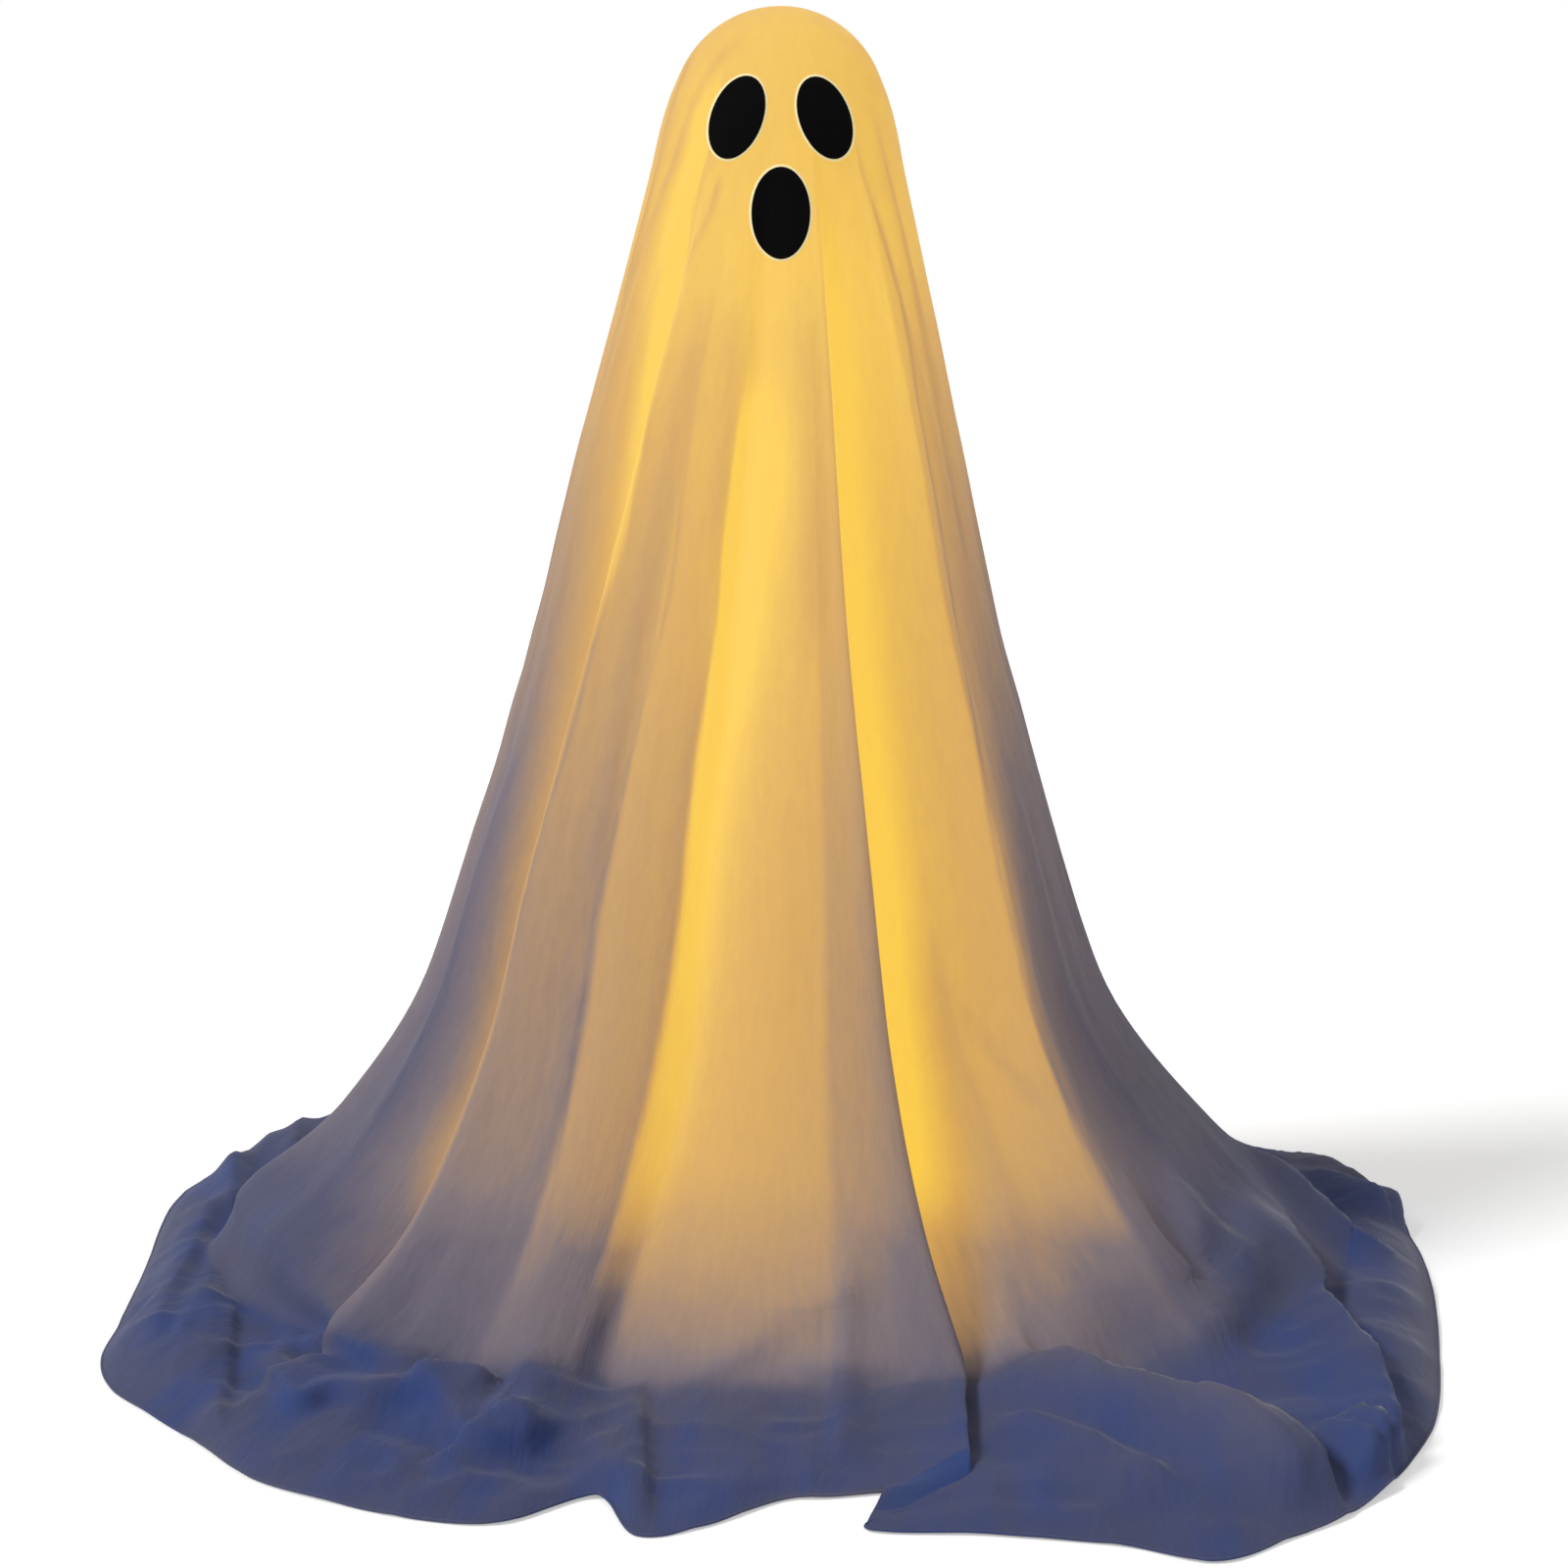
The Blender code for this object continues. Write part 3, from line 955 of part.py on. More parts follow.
def cells_and_contacts():
    """Three cells, each on a coil spring, and the four contact plates that join them in a row."""
    floor = CASE_INNER_FLOOR_Z + FIT_GAP
    ceiling = floor + CASE_INNER_HEIGHT - 2 * FIT_GAP
    half = CONTACT_HALF_WIDTH
    places = cell_places()
    spans = [
        ("contact_minus", places[0], places[0], floor),
        ("contact_bridge_bottom", places[1], places[2], floor),
        ("contact_bridge_top", places[0], places[1], ceiling - CONTACT_THICKNESS),
        ("contact_plus", places[2], places[2], ceiling - CONTACT_THICKNESS),
    ]
    for name, first, last, z in spans:
        width = last - first + 2 * half
        outline = [(-width / 2, -half), (width / 2, -half), (width / 2, half), (-width / 2, half)]
        flat_piece(name, [outline], CONTACT_THICKNESS, NICKEL, ((first + last) / 2, CELL_Y, z))
    inner = ceiling - floor - 2 * (CONTACT_THICKNESS + FIT_GAP)
    shoulder = CELL_LENGTH - CELL_NUB_HEIGHT
    profile = [(0.0, CELL_LENGTH), (CELL_NUB_RADIUS, CELL_LENGTH), (CELL_NUB_RADIUS, shoulder),
               (CELL_RADIUS, shoulder), (CELL_RADIUS, 0.0), (0.0, 0.0)]
    bottom = floor + CONTACT_THICKNESS + FIT_GAP
    wire_room = SPRING_LENGTH - 2 * SPRING_WIRE_RADIUS
    for i, x in enumerate(places):
        nub_up = i % 2 == 0
        cell_z = bottom + inner - CELL_LENGTH if nub_up else bottom + CELL_LENGTH
        cell = turned(f"battery_cell_{i + 1}", profile, CELL_WRAP, (x, CELL_Y, cell_z), COARSE_SIDES)
        cell.rotation_euler = (0.0 if nub_up else math.pi, 0.0, 0.0)
        spring_z = bottom if nub_up else bottom + inner - SPRING_LENGTH
        coil_points = 8
        count = SPRING_TURNS * coil_points
        points = []
        for k in range(count + 1):
            angle = 2 * math.pi * k / coil_points
            height = spring_z + SPRING_WIRE_RADIUS + wire_room * k / count
            points.append((x + SPRING_RADIUS * math.cos(angle), CELL_Y + SPRING_RADIUS * math.sin(angle),
                           height))
        wire(f"contact_spring_{i + 1}", points, SPRING_WIRE_RADIUS, NICKEL)


def switch():
    """A slide switch behind the side wall: its body, and the knob that pokes out through a slot."""
    y_low = CASE_INNER_BACK_Y + FIT_GAP
    y_middle = y_low + SWITCH_DEPTH / 2
    face_x = SWITCH_X + SWITCH_WIDTH / 2
    half_height = SWITCH_HEIGHT / 2
    body = box("switch_body", (face_x - SWITCH_WIDTH, y_low, SWITCH_Z - half_height),
               (face_x, y_low + SWITCH_DEPTH, SWITCH_Z + half_height), CASE_PLASTIC)
    foot_half = KNOB_WIDTH / 2 + FIT_GAP
    foot_height = KNOB_HEIGHT + 2 * SWITCH_RECESS
    run_half = (foot_height + SWITCH_TRAVEL) / 2 + FIT_GAP
    recess = box("switch_recess",
                 (face_x - SWITCH_RECESS, y_middle - foot_half - FIT_GAP, SWITCH_Z - run_half),
                 (face_x + CUT_OVERRUN, y_middle + foot_half + FIT_GAP, SWITCH_Z + run_half),
                 TOOL, collection=CUTTERS)
    combine(body, recess)
    rest_z = SWITCH_Z - SWITCH_TRAVEL / 2
    foot_low = (face_x - SWITCH_RECESS + FIT_GAP, y_middle - foot_half, rest_z - foot_height / 2)
    foot_high = (face_x, y_middle + foot_half, rest_z + foot_height / 2)
    slider = box("switch_slider", foot_low, foot_high, SWITCH_PLASTIC)
    reach = CASE_RIGHT_X + CASE_WALL + KNOB_REACH
    knob = box("switch_knob",
               (face_x - SWITCH_RECESS / 2, y_middle - KNOB_WIDTH / 2, rest_z - KNOB_HEIGHT / 2),
               (reach, y_middle + KNOB_WIDTH / 2, rest_z + KNOB_HEIGHT / 2), TOOL, collection=CUTTERS)
    combine(slider, knob, "UNION")


face(cloth_shroud())
head_globe()
globe_seat()
pole()
base()
light_string()
battery_case()
battery_cover()
cells_and_contacts()
switch()
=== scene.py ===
import math

import bpy
import numpy as np
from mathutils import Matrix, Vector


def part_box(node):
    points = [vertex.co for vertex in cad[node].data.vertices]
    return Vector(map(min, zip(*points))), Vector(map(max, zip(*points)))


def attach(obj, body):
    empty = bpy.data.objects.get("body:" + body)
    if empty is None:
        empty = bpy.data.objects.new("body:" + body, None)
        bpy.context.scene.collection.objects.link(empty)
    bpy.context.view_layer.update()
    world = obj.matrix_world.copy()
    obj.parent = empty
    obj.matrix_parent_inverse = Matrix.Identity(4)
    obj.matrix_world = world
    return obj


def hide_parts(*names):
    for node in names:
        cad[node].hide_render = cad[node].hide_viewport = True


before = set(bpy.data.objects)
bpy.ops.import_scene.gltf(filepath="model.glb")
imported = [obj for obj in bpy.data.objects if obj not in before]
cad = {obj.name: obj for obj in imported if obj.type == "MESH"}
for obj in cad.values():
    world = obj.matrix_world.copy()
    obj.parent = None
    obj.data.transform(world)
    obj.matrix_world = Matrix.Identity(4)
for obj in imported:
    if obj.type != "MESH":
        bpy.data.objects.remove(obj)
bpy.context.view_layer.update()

# The folding base: two flat bars of mild steel, cropped from strip with round ends, punched, and
# powder coated in matt black. They cross on a bolt with a washer between them.


def linear(code):
    """Turn an sRGB hex colour into linear red, green, blue and alpha."""
    parts = [int(code[i:i + 2], 16) / 255 for i in (1, 3, 5)]
    return [c / 12.92 if c <= 0.04045 else ((c + 0.055) / 1.055) ** 2.4 for c in parts] + [1.0]


def per_metre(size_mm):
    """How many repeats a metre holds of a pattern of this size in millimetres."""
    return 1000 / size_mm


def add_node(tree, kind, inputs=None, stops=None, **settings):
    """Add a shader node: its settings, a ramp's (place, colour) stops, then values or links by input."""
    node = tree.nodes.new("ShaderNode" + kind)
    for name, value in settings.items():
        setattr(node, name, value)
    if stops:
        elements = node.color_ramp.elements
        while len(elements) < len(stops):
            elements.new(0.5)
        for element, (place, colour) in zip(elements, stops):
            element.position = place
            element.color = linear(colour)
    for name, value in (inputs or {}).items():
        if isinstance(value, bpy.types.NodeSocket):
            tree.links.new(value, node.inputs[name])
        else:
            node.inputs[name].default_value = value
    return node


def start_material(name, **sockets):
    """A material with one Principled BSDF, its plain sockets set, and its node tree."""
    material = bpy.data.materials.new(name)
    material.use_nodes = True
    tree = material.node_tree
    shader = tree.nodes["Principled BSDF"]
    for socket, value in sockets.items():
        shader.inputs[socket.replace("_", " ")].default_value = value
    return material, tree, shader


def dress(material, *nodes):
    """Put a material on CAD nodes that keep their own shape."""
    for name in nodes:
        slots = cad[name].data.materials
        slots.clear()
        slots.append(material)


def mottled(name, pattern_mm, ends, colours, glow=None, gloss=None, bump=None, bump_mm=None, stretch=1.0,
            detail=2.0, distortion=0.0, **sockets):
    """A material that runs between two colours over a noise of real size.

    ends are the noise's values at the two colours. Where they are given, the noise also sets a pair of
    glow colours, a range of roughness and a bump of some strength and depth. bump_mm is the size of a
    second noise for the bump alone.
    """
    material, tree, shader = start_material(name, **sockets)
    place = add_node(tree, "TexCoord").outputs["Object"]
    if stretch != 1:
        place = add_node(tree, "Mapping",
                         {"Vector": place, "Scale": (1.0, 1.0, stretch)}).outputs["Vector"]
    noise = add_node(tree, "TexNoise", {"Vector": place, "Scale": per_metre(pattern_mm),
                                        "Detail": detail, "Distortion": distortion}).outputs["Fac"]
    for socket, pair in (("Base Color", colours), ("Emission Color", glow)):
        if pair:
            ramp = add_node(tree, "ValToRGB", {"Fac": noise}, stops=list(zip(ends, pair)))
            tree.links.new(ramp.outputs["Color"], shader.inputs[socket])
    if gloss:
        spread = add_node(tree, "MapRange", {"Value": noise, "To Min": gloss[0], "To Max": gloss[1]})
        tree.links.new(spread.outputs["Result"], shader.inputs["Roughness"])
    if bump_mm:
        noise = add_node(tree, "TexNoise",
                         {"Vector": place, "Scale": per_metre(bump_mm)}).outputs["Fac"]
    if bump:
        relief = add_node(tree, "Bump", {"Height": noise, "Strength": bump[0], "Distance": bump[1]})
        tree.links.new(relief.outputs["Normal"], shader.inputs["Normal"])
    return material


# Powder coat: polyester powder baked on steel, a matt black skin with dust in patches of 40 mm and
# a faint orange peel of 0.9 mm.
powder_coat = mottled("powder_coated_steel", 40, (0.35, 0.75), ("#17181A", "#26272A"), detail=6.0,
                      bump=(0.3, 0.0002), bump_mm=0.9, Roughness=0.5)
dress(powder_coat, "base_bar_upper", "base_bar_lower")

# The fasteners: M6 bolt and nut, washer, hub screws, case screw and grub screw, all of cold-headed
# steel with a bright zinc plating, whose grain of 0.35 mm changes its gloss.
zinc_plating = mottled("zinc_plated_steel", 0.35, (0.3, 0.7), ("#B4B8BE", "#CDD0D4"), gloss=(0.24, 0.42),
                       Metallic=1.0)
dress(zinc_plating, "pivot_bolt", "pivot_nut", "pivot_washer", "hub_screw_left", "hub_screw_right",
      "case_screw", "seat_grub_screw")

# The four feet: compression-moulded black rubber blocks, glued under the bars' ends, with a dusty
# bloom in specks of 1.2 mm that dulls them.
moulded_rubber = mottled("moulded_rubber", 1.2, (0.3, 0.75), ("#141414", "#2A2927"), detail=4.0,
                         bump=(0.3, 0.0002), Roughness=0.85)
dress(moulded_rubber, "foot_left", "foot_right", "foot_front", "foot_rear")

# The hub, the pole's cap, the globe's seat and the clip of the battery case: injection-moulded grey
# nylon with flow marks of 14 mm and a spark-eroded satin texture of 0.5 mm.
grey_nylon = mottled("moulded_grey_nylon", 14, (0.35, 0.7), ("#6E6F73", "#7B7C80"), distortion=0.6,
                     bump=(0.35, 0.0001), bump_mm=0.5, Roughness=0.5)
dress(grey_nylon, "pole_hub", "pole_cap", "globe_seat", "case_saddle")

# The pole: three extruded white PVC tubes that plug into each other. Extrusion leaves streaks 1.5 mm
# wide and fifty times as long, and the surface is a little glossy.
extruded_pvc = mottled("extruded_white_pvc", 1.5, (0.3, 0.7), ("#DAD8D0", "#EAE8E2"), gloss=(0.3, 0.45),
                       stretch=0.02)
dress(extruded_pvc, "pole_lower", "pole_middle", "pole_upper")

# The globe: blow-moulded opal polythene with an open neck that slips over the seat's plug. The lamps inside
# make it glow warm white.


def shown_mesh(name, points, faces, material, body, replaces=()):
    """Put points and faces into a smooth mesh object that rides on a body and may replace CAD nodes."""
    data = bpy.data.meshes.new(name)
    data.from_pydata(np.reshape(points, (-1, 3)), [], faces)
    data.shade_smooth()
    data.materials.append(material)
    piece = bpy.data.objects.new(name, data)
    bpy.context.scene.collection.objects.link(piece)
    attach(piece, body)
    if replaces:
        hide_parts(*replaces)
    return piece


def grid_faces(rows, columns, start=0):
    """Quads of a grid numbered row by row from start, with its last column joined to its first."""
    row = np.arange(rows - 1)[:, None] * columns + start
    column = np.arange(columns)[None, :]
    after = (column + 1) % columns
    quads = np.stack((row + column, row + columns + column, row + columns + after, row + after), -1)
    return quads.reshape(-1, 4).tolist()


def turned_points(profile, sides):
    """A profile of (radius, height) turned about the Z axis, as a ring of points for each place."""
    turn = np.linspace(0, 2 * math.pi, sides, endpoint=False)
    radius, height = np.array(profile).T
    return np.stack((radius[:, None] * np.sin(turn), -radius[:, None] * np.cos(turn),
                     np.repeat(height[:, None], sides, 1)), -1)


GLOBE_WALL = 0.0015
GLOBE_SIDES = 72
GLOBE_ROWS = 40
globe_low, globe_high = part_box("head_globe")
GLOBE_RADIUS = (globe_high.x - globe_low.x) / 2
GLOBE_Z = globe_high.z - GLOBE_RADIUS
NECK_RADIUS = 0.026
POLE_GAP = 0.0004
outer_end = math.pi - math.asin(NECK_RADIUS / GLOBE_RADIUS)
inner_end = math.pi - math.asin((NECK_RADIUS - GLOBE_WALL) / (GLOBE_RADIUS - GLOBE_WALL))
outer_turn = np.linspace(POLE_GAP, outer_end, GLOBE_ROWS)
inner_turn = np.linspace(inner_end, POLE_GAP, GLOBE_ROWS)
outer = np.column_stack((np.sin(outer_turn), np.cos(outer_turn))) * GLOBE_RADIUS
inner = np.column_stack((np.sin(inner_turn), np.cos(inner_turn))) * (GLOBE_RADIUS - GLOBE_WALL)
lip = [(NECK_RADIUS, globe_low.z - GLOBE_Z), (NECK_RADIUS - GLOBE_WALL, globe_low.z - GLOBE_Z)]
globe_profile = np.vstack((outer, lip, inner)) + (0.0, GLOBE_Z)
globe_points = turned_points(globe_profile, GLOBE_SIDES)
last = len(globe_profile) * GLOBE_SIDES
crowns = [(0.0, 0.0, GLOBE_Z + GLOBE_RADIUS), (0.0, 0.0, GLOBE_Z + GLOBE_RADIUS - GLOBE_WALL)]
faces = grid_faces(len(globe_profile), GLOBE_SIDES)
faces += [(last, i, (i + 1) % GLOBE_SIDES) for i in range(GLOBE_SIDES)]
faces += [(last + 1, last - GLOBE_SIDES + (i + 1) % GLOBE_SIDES, last - GLOBE_SIDES + i)
          for i in range(GLOBE_SIDES)]

# Opal polythene scatters the lamps' light: an even amber glow with soft cloudy patches of 30 mm.
opal_polythene = mottled("opal_polythene", 30, (0.3, 0.7), ("#B9AE94", "#C8BEA6"),
                         glow=("#C98E35", "#E3AA4C"), detail=3.0, Roughness=0.35, Emission_Strength=1.0)
shown_mesh("opal_globe", np.vstack((globe_points.reshape(-1, 3), crowns)), faces, opal_polythene,
           "stand", ["head_globe"])

# The lamp string: twenty warm lamps moulded on a twin wire in clear PVC. It leaves the battery
# case, winds up the pole, passes through a hole in the seat and ends inside the globe.
WIRE_RADIUS = 0.0006
WIRE_SPREAD = 0.0006
WIRE_TWIST_LENGTH = 0.012
WIRE_SIDES = 6
STRING_PITCH = 0.050
STRING_LEAD = 0.020
STRING_STEP = 0.0015
LAMP_COUNT = 20
LAMPS_IN_GLOBE = 2
LAMP_RADIUS = 0.0026
LAMP_LENGTH = 0.0085
LAMP_SIDES = 12
WIRE_HOLE_Y = 0.0196
WIRE_GAP = 0.0012
LEAD_STEPS = 24
HELIX_CORNER_STEPS = 20
pole_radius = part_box("pole_lower")[1].x
case_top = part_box("battery_case")[1].z
seat_low, seat_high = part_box("globe_seat")
string_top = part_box("light_string")[1].z - LAMP_RADIUS
switch_low, switch_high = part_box("switch_body")
cell_low, cell_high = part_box("battery_cell_1")
lead_x = (switch_low.x + switch_high.x) / 2
lead_y = (cell_low.y + cell_high.y) / 2
wound_radius = pole_radius + WIRE_RADIUS + WIRE_SPREAD + WIRE_GAP


def smooth_step(share):
    """Ease from 0 to 1: three squares less two cubes."""
    share = np.clip(share, 0.0, 1.0)
    return share * share * (3 - 2 * share)


def helix(low, high, turns):
    """A winding about the pole: it starts behind the pole and rises evenly."""
    steps = int(turns * 2 * math.pi * wound_radius / STRING_STEP)
    turn = np.linspace(0, 2 * math.pi * turns, steps)
    return np.column_stack((wound_radius * np.sin(turn), wound_radius * np.cos(turn),
                            np.linspace(low, high, steps)))


def cubic(t, gap, start, end, start_slope, end_slope):
    """A cubic piece between two values with set slopes, at the share t of the gap between their places."""
    return ((2 * t ** 3 - 3 * t ** 2 + 1) * start + (t ** 3 - 2 * t ** 2 + t) * gap * start_slope
            + (3 * t ** 2 - 2 * t ** 3) * end + (t ** 3 - t ** 2) * gap * end_slope)


def along_path(corners, step):
    """Points at even steps on a smooth curve through corners: cubic pieces with neighbour slopes."""
    corners = np.array(corners, float)
    reach = np.r_[0, np.cumsum(np.linalg.norm(np.diff(corners, axis=0), axis=1))]
    slopes = np.gradient(corners, reach, axis=0)
    place = np.linspace(0, reach[-1], max(int(reach[-1] / step), 2))
    i = np.clip(np.searchsorted(reach, place, side="right") - 1, 0, len(reach) - 2)
    gap = (reach[i + 1] - reach[i])[:, None]
    t = (place - reach[i])[:, None] / gap
    return cubic(t, gap, corners[i], corners[i + 1], slopes[i], slopes[i + 1])


def square_to(path):
    """Two unit directions square to a path at each of its points: away from the pole, and beside that."""
    ahead = np.gradient(path, axis=0)
    ahead /= np.linalg.norm(ahead, axis=1)[:, None]
    outward = path * (1, 1, 0)
    outward -= (outward * ahead).sum(1)[:, None] * ahead
    outward /= np.linalg.norm(outward, axis=1)[:, None]
    return outward, np.cross(ahead, outward)


def unit_rings(outward, beside, sides):
    """A ring for each pair of directions: cosine of each side's angle one way and sine the other."""
    turn = np.linspace(0, 2 * math.pi, sides, endpoint=False)[:, None]
    return np.cos(turn) * outward[:, None] + np.sin(turn) * beside[:, None]


def tube(path, radius, sides):
    """A round tube along a path: each ring lies square to the path, and a face closes each end."""
    rings = path[:, None] + radius * unit_rings(*square_to(path), sides)
    faces = [face[::-1] for face in grid_faces(len(path), sides)]
    faces.append(tuple(range(sides))[::-1])
    faces.append(tuple(range((len(path) - 1) * sides, len(path) * sides)))
    return rings.reshape(-1, 3), faces


string_start = case_top + 2 * STRING_LEAD
lower_turns = round((seat_low.z - STRING_LEAD - string_start) / STRING_PITCH)
lower_end = string_start + lower_turns * STRING_PITCH
upper_start = seat_high.z + STRING_LEAD / 2
upper_turns = (string_top - upper_start) / STRING_PITCH
lead_turn = math.atan2(lead_x, lead_y)
lead_share = np.linspace(0, 1, LEAD_STEPS)
lead_angle = lead_turn + (2 * math.pi - lead_turn) * lead_share
lead_reach = math.hypot(lead_x, lead_y)
lead_radius = lead_reach + (wound_radius - lead_reach) * smooth_step(lead_share)
lead_low = case_top + STRING_LEAD / 4
lead = np.column_stack((lead_radius * np.sin(lead_angle), lead_radius * np.cos(lead_angle),
                        lead_low + (string_start - lead_low) * lead_share))
lower_helix = helix(string_start, lower_end, lower_turns)
upper_helix = helix(upper_start, string_top, upper_turns)
case_end = [(lead_x, lead_y, case_top - STRING_LEAD / 4), (lead_x, lead_y, case_top)]
seat_passage = [(0.0, WIRE_HOLE_Y, seat_low.z - STRING_LEAD / 8),
                (0.0, WIRE_HOLE_Y, seat_low.z + STRING_LEAD / 2),
                (0.0, WIRE_HOLE_Y, seat_high.z + STRING_LEAD / 8)]
corners = np.vstack((case_end, lead[1:-1], lower_helix[::HELIX_CORNER_STEPS], lower_helix[-1:], seat_passage,
                     upper_helix[::HELIX_CORNER_STEPS], upper_helix[-1:]))
route = along_path(corners, STRING_STEP)
outward, beside = square_to(route)
twist = (2 * math.pi * np.arange(len(route)) * STRING_STEP / WIRE_TWIST_LENGTH)[:, None]
offset = WIRE_SPREAD * (np.cos(twist) * outward + np.sin(twist) * beside)
points_one, faces_one = tube(route + offset, WIRE_RADIUS, WIRE_SIDES)
points_two, faces_two = tube(route - offset, WIRE_RADIUS, WIRE_SIDES)
faces_two = [tuple(i + len(points_one) for i in face) for face in faces_two]

# Clear PVC over copper: the copper shows through as a warm tan, under a glossy skin, and its strands change
# it every 1.5 mm. The wire is also given a faint painted warm glow, though it is no lamp.
glowing_clear_pvc = mottled("clear_pvc_on_copper", 1.5, (0.3, 0.7), ("#B98A55", "#D9B37C"),
                    glow=("#2A1B08", "#3C280D"), Roughness=0.25, Emission_Strength=1.0)
shown_mesh("twin_wire", np.vstack((points_one, points_two)), faces_one + faces_two, glowing_clear_pvc,
           "stand", ["light_string"])

# Each lamp is a clear capsule over a chip: a bead of resin that swells from the wire and back.
LAMP_PROFILE_SHARES = [(-0.5, 0.30), (-0.42, 0.62), (-0.30, 0.92), (-0.12, 1.0), (0.12, 1.0), (0.30, 0.92),
                       (0.42, 0.62), (0.5, 0.30)]
lower_lamps = LAMP_COUNT - LAMPS_IN_GLOBE
lamp_turns = (np.arange(lower_lamps) + 0.5) * lower_turns / lower_lamps
lamp_heights = string_start + lamp_turns * STRING_PITCH
upper_lamp_turns = (np.arange(LAMPS_IN_GLOBE) + 0.5) * upper_turns / LAMPS_IN_GLOBE
lamp_turns = np.r_[lamp_turns, upper_lamp_turns] * 2 * math.pi
lamp_heights = np.r_[lamp_heights, upper_start + upper_lamp_turns * STRING_PITCH]
lamp_reach = wound_radius + LAMP_RADIUS / 2
lamp_out = np.column_stack((np.sin(lamp_turns), np.cos(lamp_turns), 0 * lamp_turns))
lamp_ahead = np.column_stack((wound_radius * np.cos(lamp_turns), -wound_radius * np.sin(lamp_turns),
                              0 * lamp_turns + STRING_PITCH / (2 * math.pi)))
lamp_ahead /= np.linalg.norm(lamp_ahead, axis=1)[:, None]
lamp_beside = np.cross(lamp_ahead, lamp_out)
lamp_place = lamp_out * lamp_reach + (0, 0, 1) * lamp_heights[:, None]
lamp_along, lamp_swell = np.array(LAMP_PROFILE_SHARES).T
round_part = unit_rings(lamp_out, lamp_beside, LAMP_SIDES)[:, None]
lamp_points = (lamp_place[:, None, None, :]
               + lamp_along[None, :, None, None] * LAMP_LENGTH * lamp_ahead[:, None, None, :]
               + lamp_swell[None, :, None, None] * LAMP_RADIUS * round_part)
lamp_faces = []
for i in range(LAMP_COUNT):
    first = i * len(LAMP_PROFILE_SHARES) * LAMP_SIDES
    lamp_faces += grid_faces(len(LAMP_PROFILE_SHARES), LAMP_SIDES, first)
    lamp_faces.append(tuple(range(first, first + LAMP_SIDES)))
    last = first + (len(LAMP_PROFILE_SHARES) - 1) * LAMP_SIDES
    lamp_faces.append(tuple(range(last, last + LAMP_SIDES))[::-1])

# Clear epoxy over a lit chip: bright warm yellow with sparks of 3 mm, under a glossy skin.
lit_resin = mottled("lit_lamp_resin", 3, (0.3, 0.7), ("#E8B860", "#F2CF8A"), glow=("#FFD27A", "#FFE8B0"),
                    Roughness=0.12, Emission_Strength=1.0)
shown_mesh("string_lamps", lamp_points, lamp_faces, lit_resin, "stand")

# The battery case, its sliding cover and the switch's body: injection-moulded black ABS with a
# fine matt texture of 0.6 mm, rubbed in patches of 18 mm. The case is screwed to its clip.
moulded_abs = mottled("moulded_black_abs", 18, (0.35, 0.75), ("#232325", "#303032"), gloss=(0.38, 0.55),
                      detail=5.0, bump=(0.35, 0.0001), bump_mm=0.6)
dress(moulded_abs, "battery_case", "battery_cover", "switch_body")

# The switch's knob: red acetal, moulded smooth, worn a little paler in spots of 2.5 mm where a
# finger pushes it.
red_acetal = mottled("red_acetal", 2.5, (0.35, 0.75), ("#9C1E1A", "#B5352C"), Roughness=0.35)
dress(red_acetal, "switch_slider")

# The three cells: steel cans in a plain green shrink sleeve, with a copper-coloured band at the
# plus end and bare nickel plate on the nub and rims. They lie plus up, plus down, plus up.
CELL_BAND_LENGTH = 0.013
CELL_SLEEVE_LENGTH = 0.0485
for number, plus_up in ((1, True), (2, False), (3, True)):
    sleeve, tree, shader = start_material(f"shrink_sleeve_{number}", Roughness=0.25)
    low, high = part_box(f"battery_cell_{number}")
    place = add_node(tree, "TexCoord").outputs["Object"]
    height = add_node(tree, "SeparateXYZ", {"Vector": place}).outputs["Z"]
    minus_z, plus_z = (low.z, high.z) if plus_up else (high.z, low.z)
    along_cell = add_node(tree, "MapRange", {"Value": height, "From Min": minus_z, "From Max": plus_z})
    band_share = 1 - CELL_BAND_LENGTH / (high.z - low.z)
    bare_share = CELL_SLEEVE_LENGTH / (high.z - low.z)
    colours = add_node(tree, "ValToRGB", {"Fac": along_cell.outputs["Result"]},
                       stops=[(0.0, "#1F5E3A"), (band_share, "#B87340"), (bare_share, "#B9B4A8")])
    colours.color_ramp.interpolation = "CONSTANT"
    metal = add_node(tree, "Math", {0: along_cell.outputs["Result"], 1: bare_share},
                     operation="GREATER_THAN")
    tree.links.new(colours.outputs["Color"], shader.inputs["Base Color"])
    tree.links.new(metal.outputs["Value"], shader.inputs["Metallic"])
    dress(sleeve, f"battery_cell_{number}")

# The contacts: plates punched from nickel-plated steel strip and coil springs of plated music wire.
# Rolling and drawing leave marks of 0.8 mm.
nickel_plating = mottled("nickel_plated_steel", 0.8, (0.3, 0.7), ("#BDB5A6", "#D2CBBD"), gloss=(0.18, 0.34),
                         Metallic=1.0)
dress(nickel_plating, "contact_spring_1", "contact_spring_2", "contact_spring_3", "contact_minus",
      "contact_plus", "contact_bridge_bottom", "contact_bridge_top")

# The cloth: a light cotton voile, cut in tapered panels, sewn into a tall cone and draped over the
# globe. It hangs in folds that flare towards the floor, where the long skirt spreads and heaps up.
FIGURE_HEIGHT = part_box("cloth_shroud")[1].z
SKIRT_HALF_WIDTH = 0.516
SKIRT_HALF_DEPTH = 0.531
HEAD_RADIUS = 0.0793
FOLD_DEPTH = 0.026
FLOOR_CLEARANCE = 0.0016
# Columns of the cloth: the first spans are in front and have more samples each than the rest
FRONT_SPANS = 26
FRONT_SAMPLES = 17
BACK_SAMPLES = 9
HEAD_ROWS = 12
BODY_ROWS = 54
SKIRT_ROWS = 82
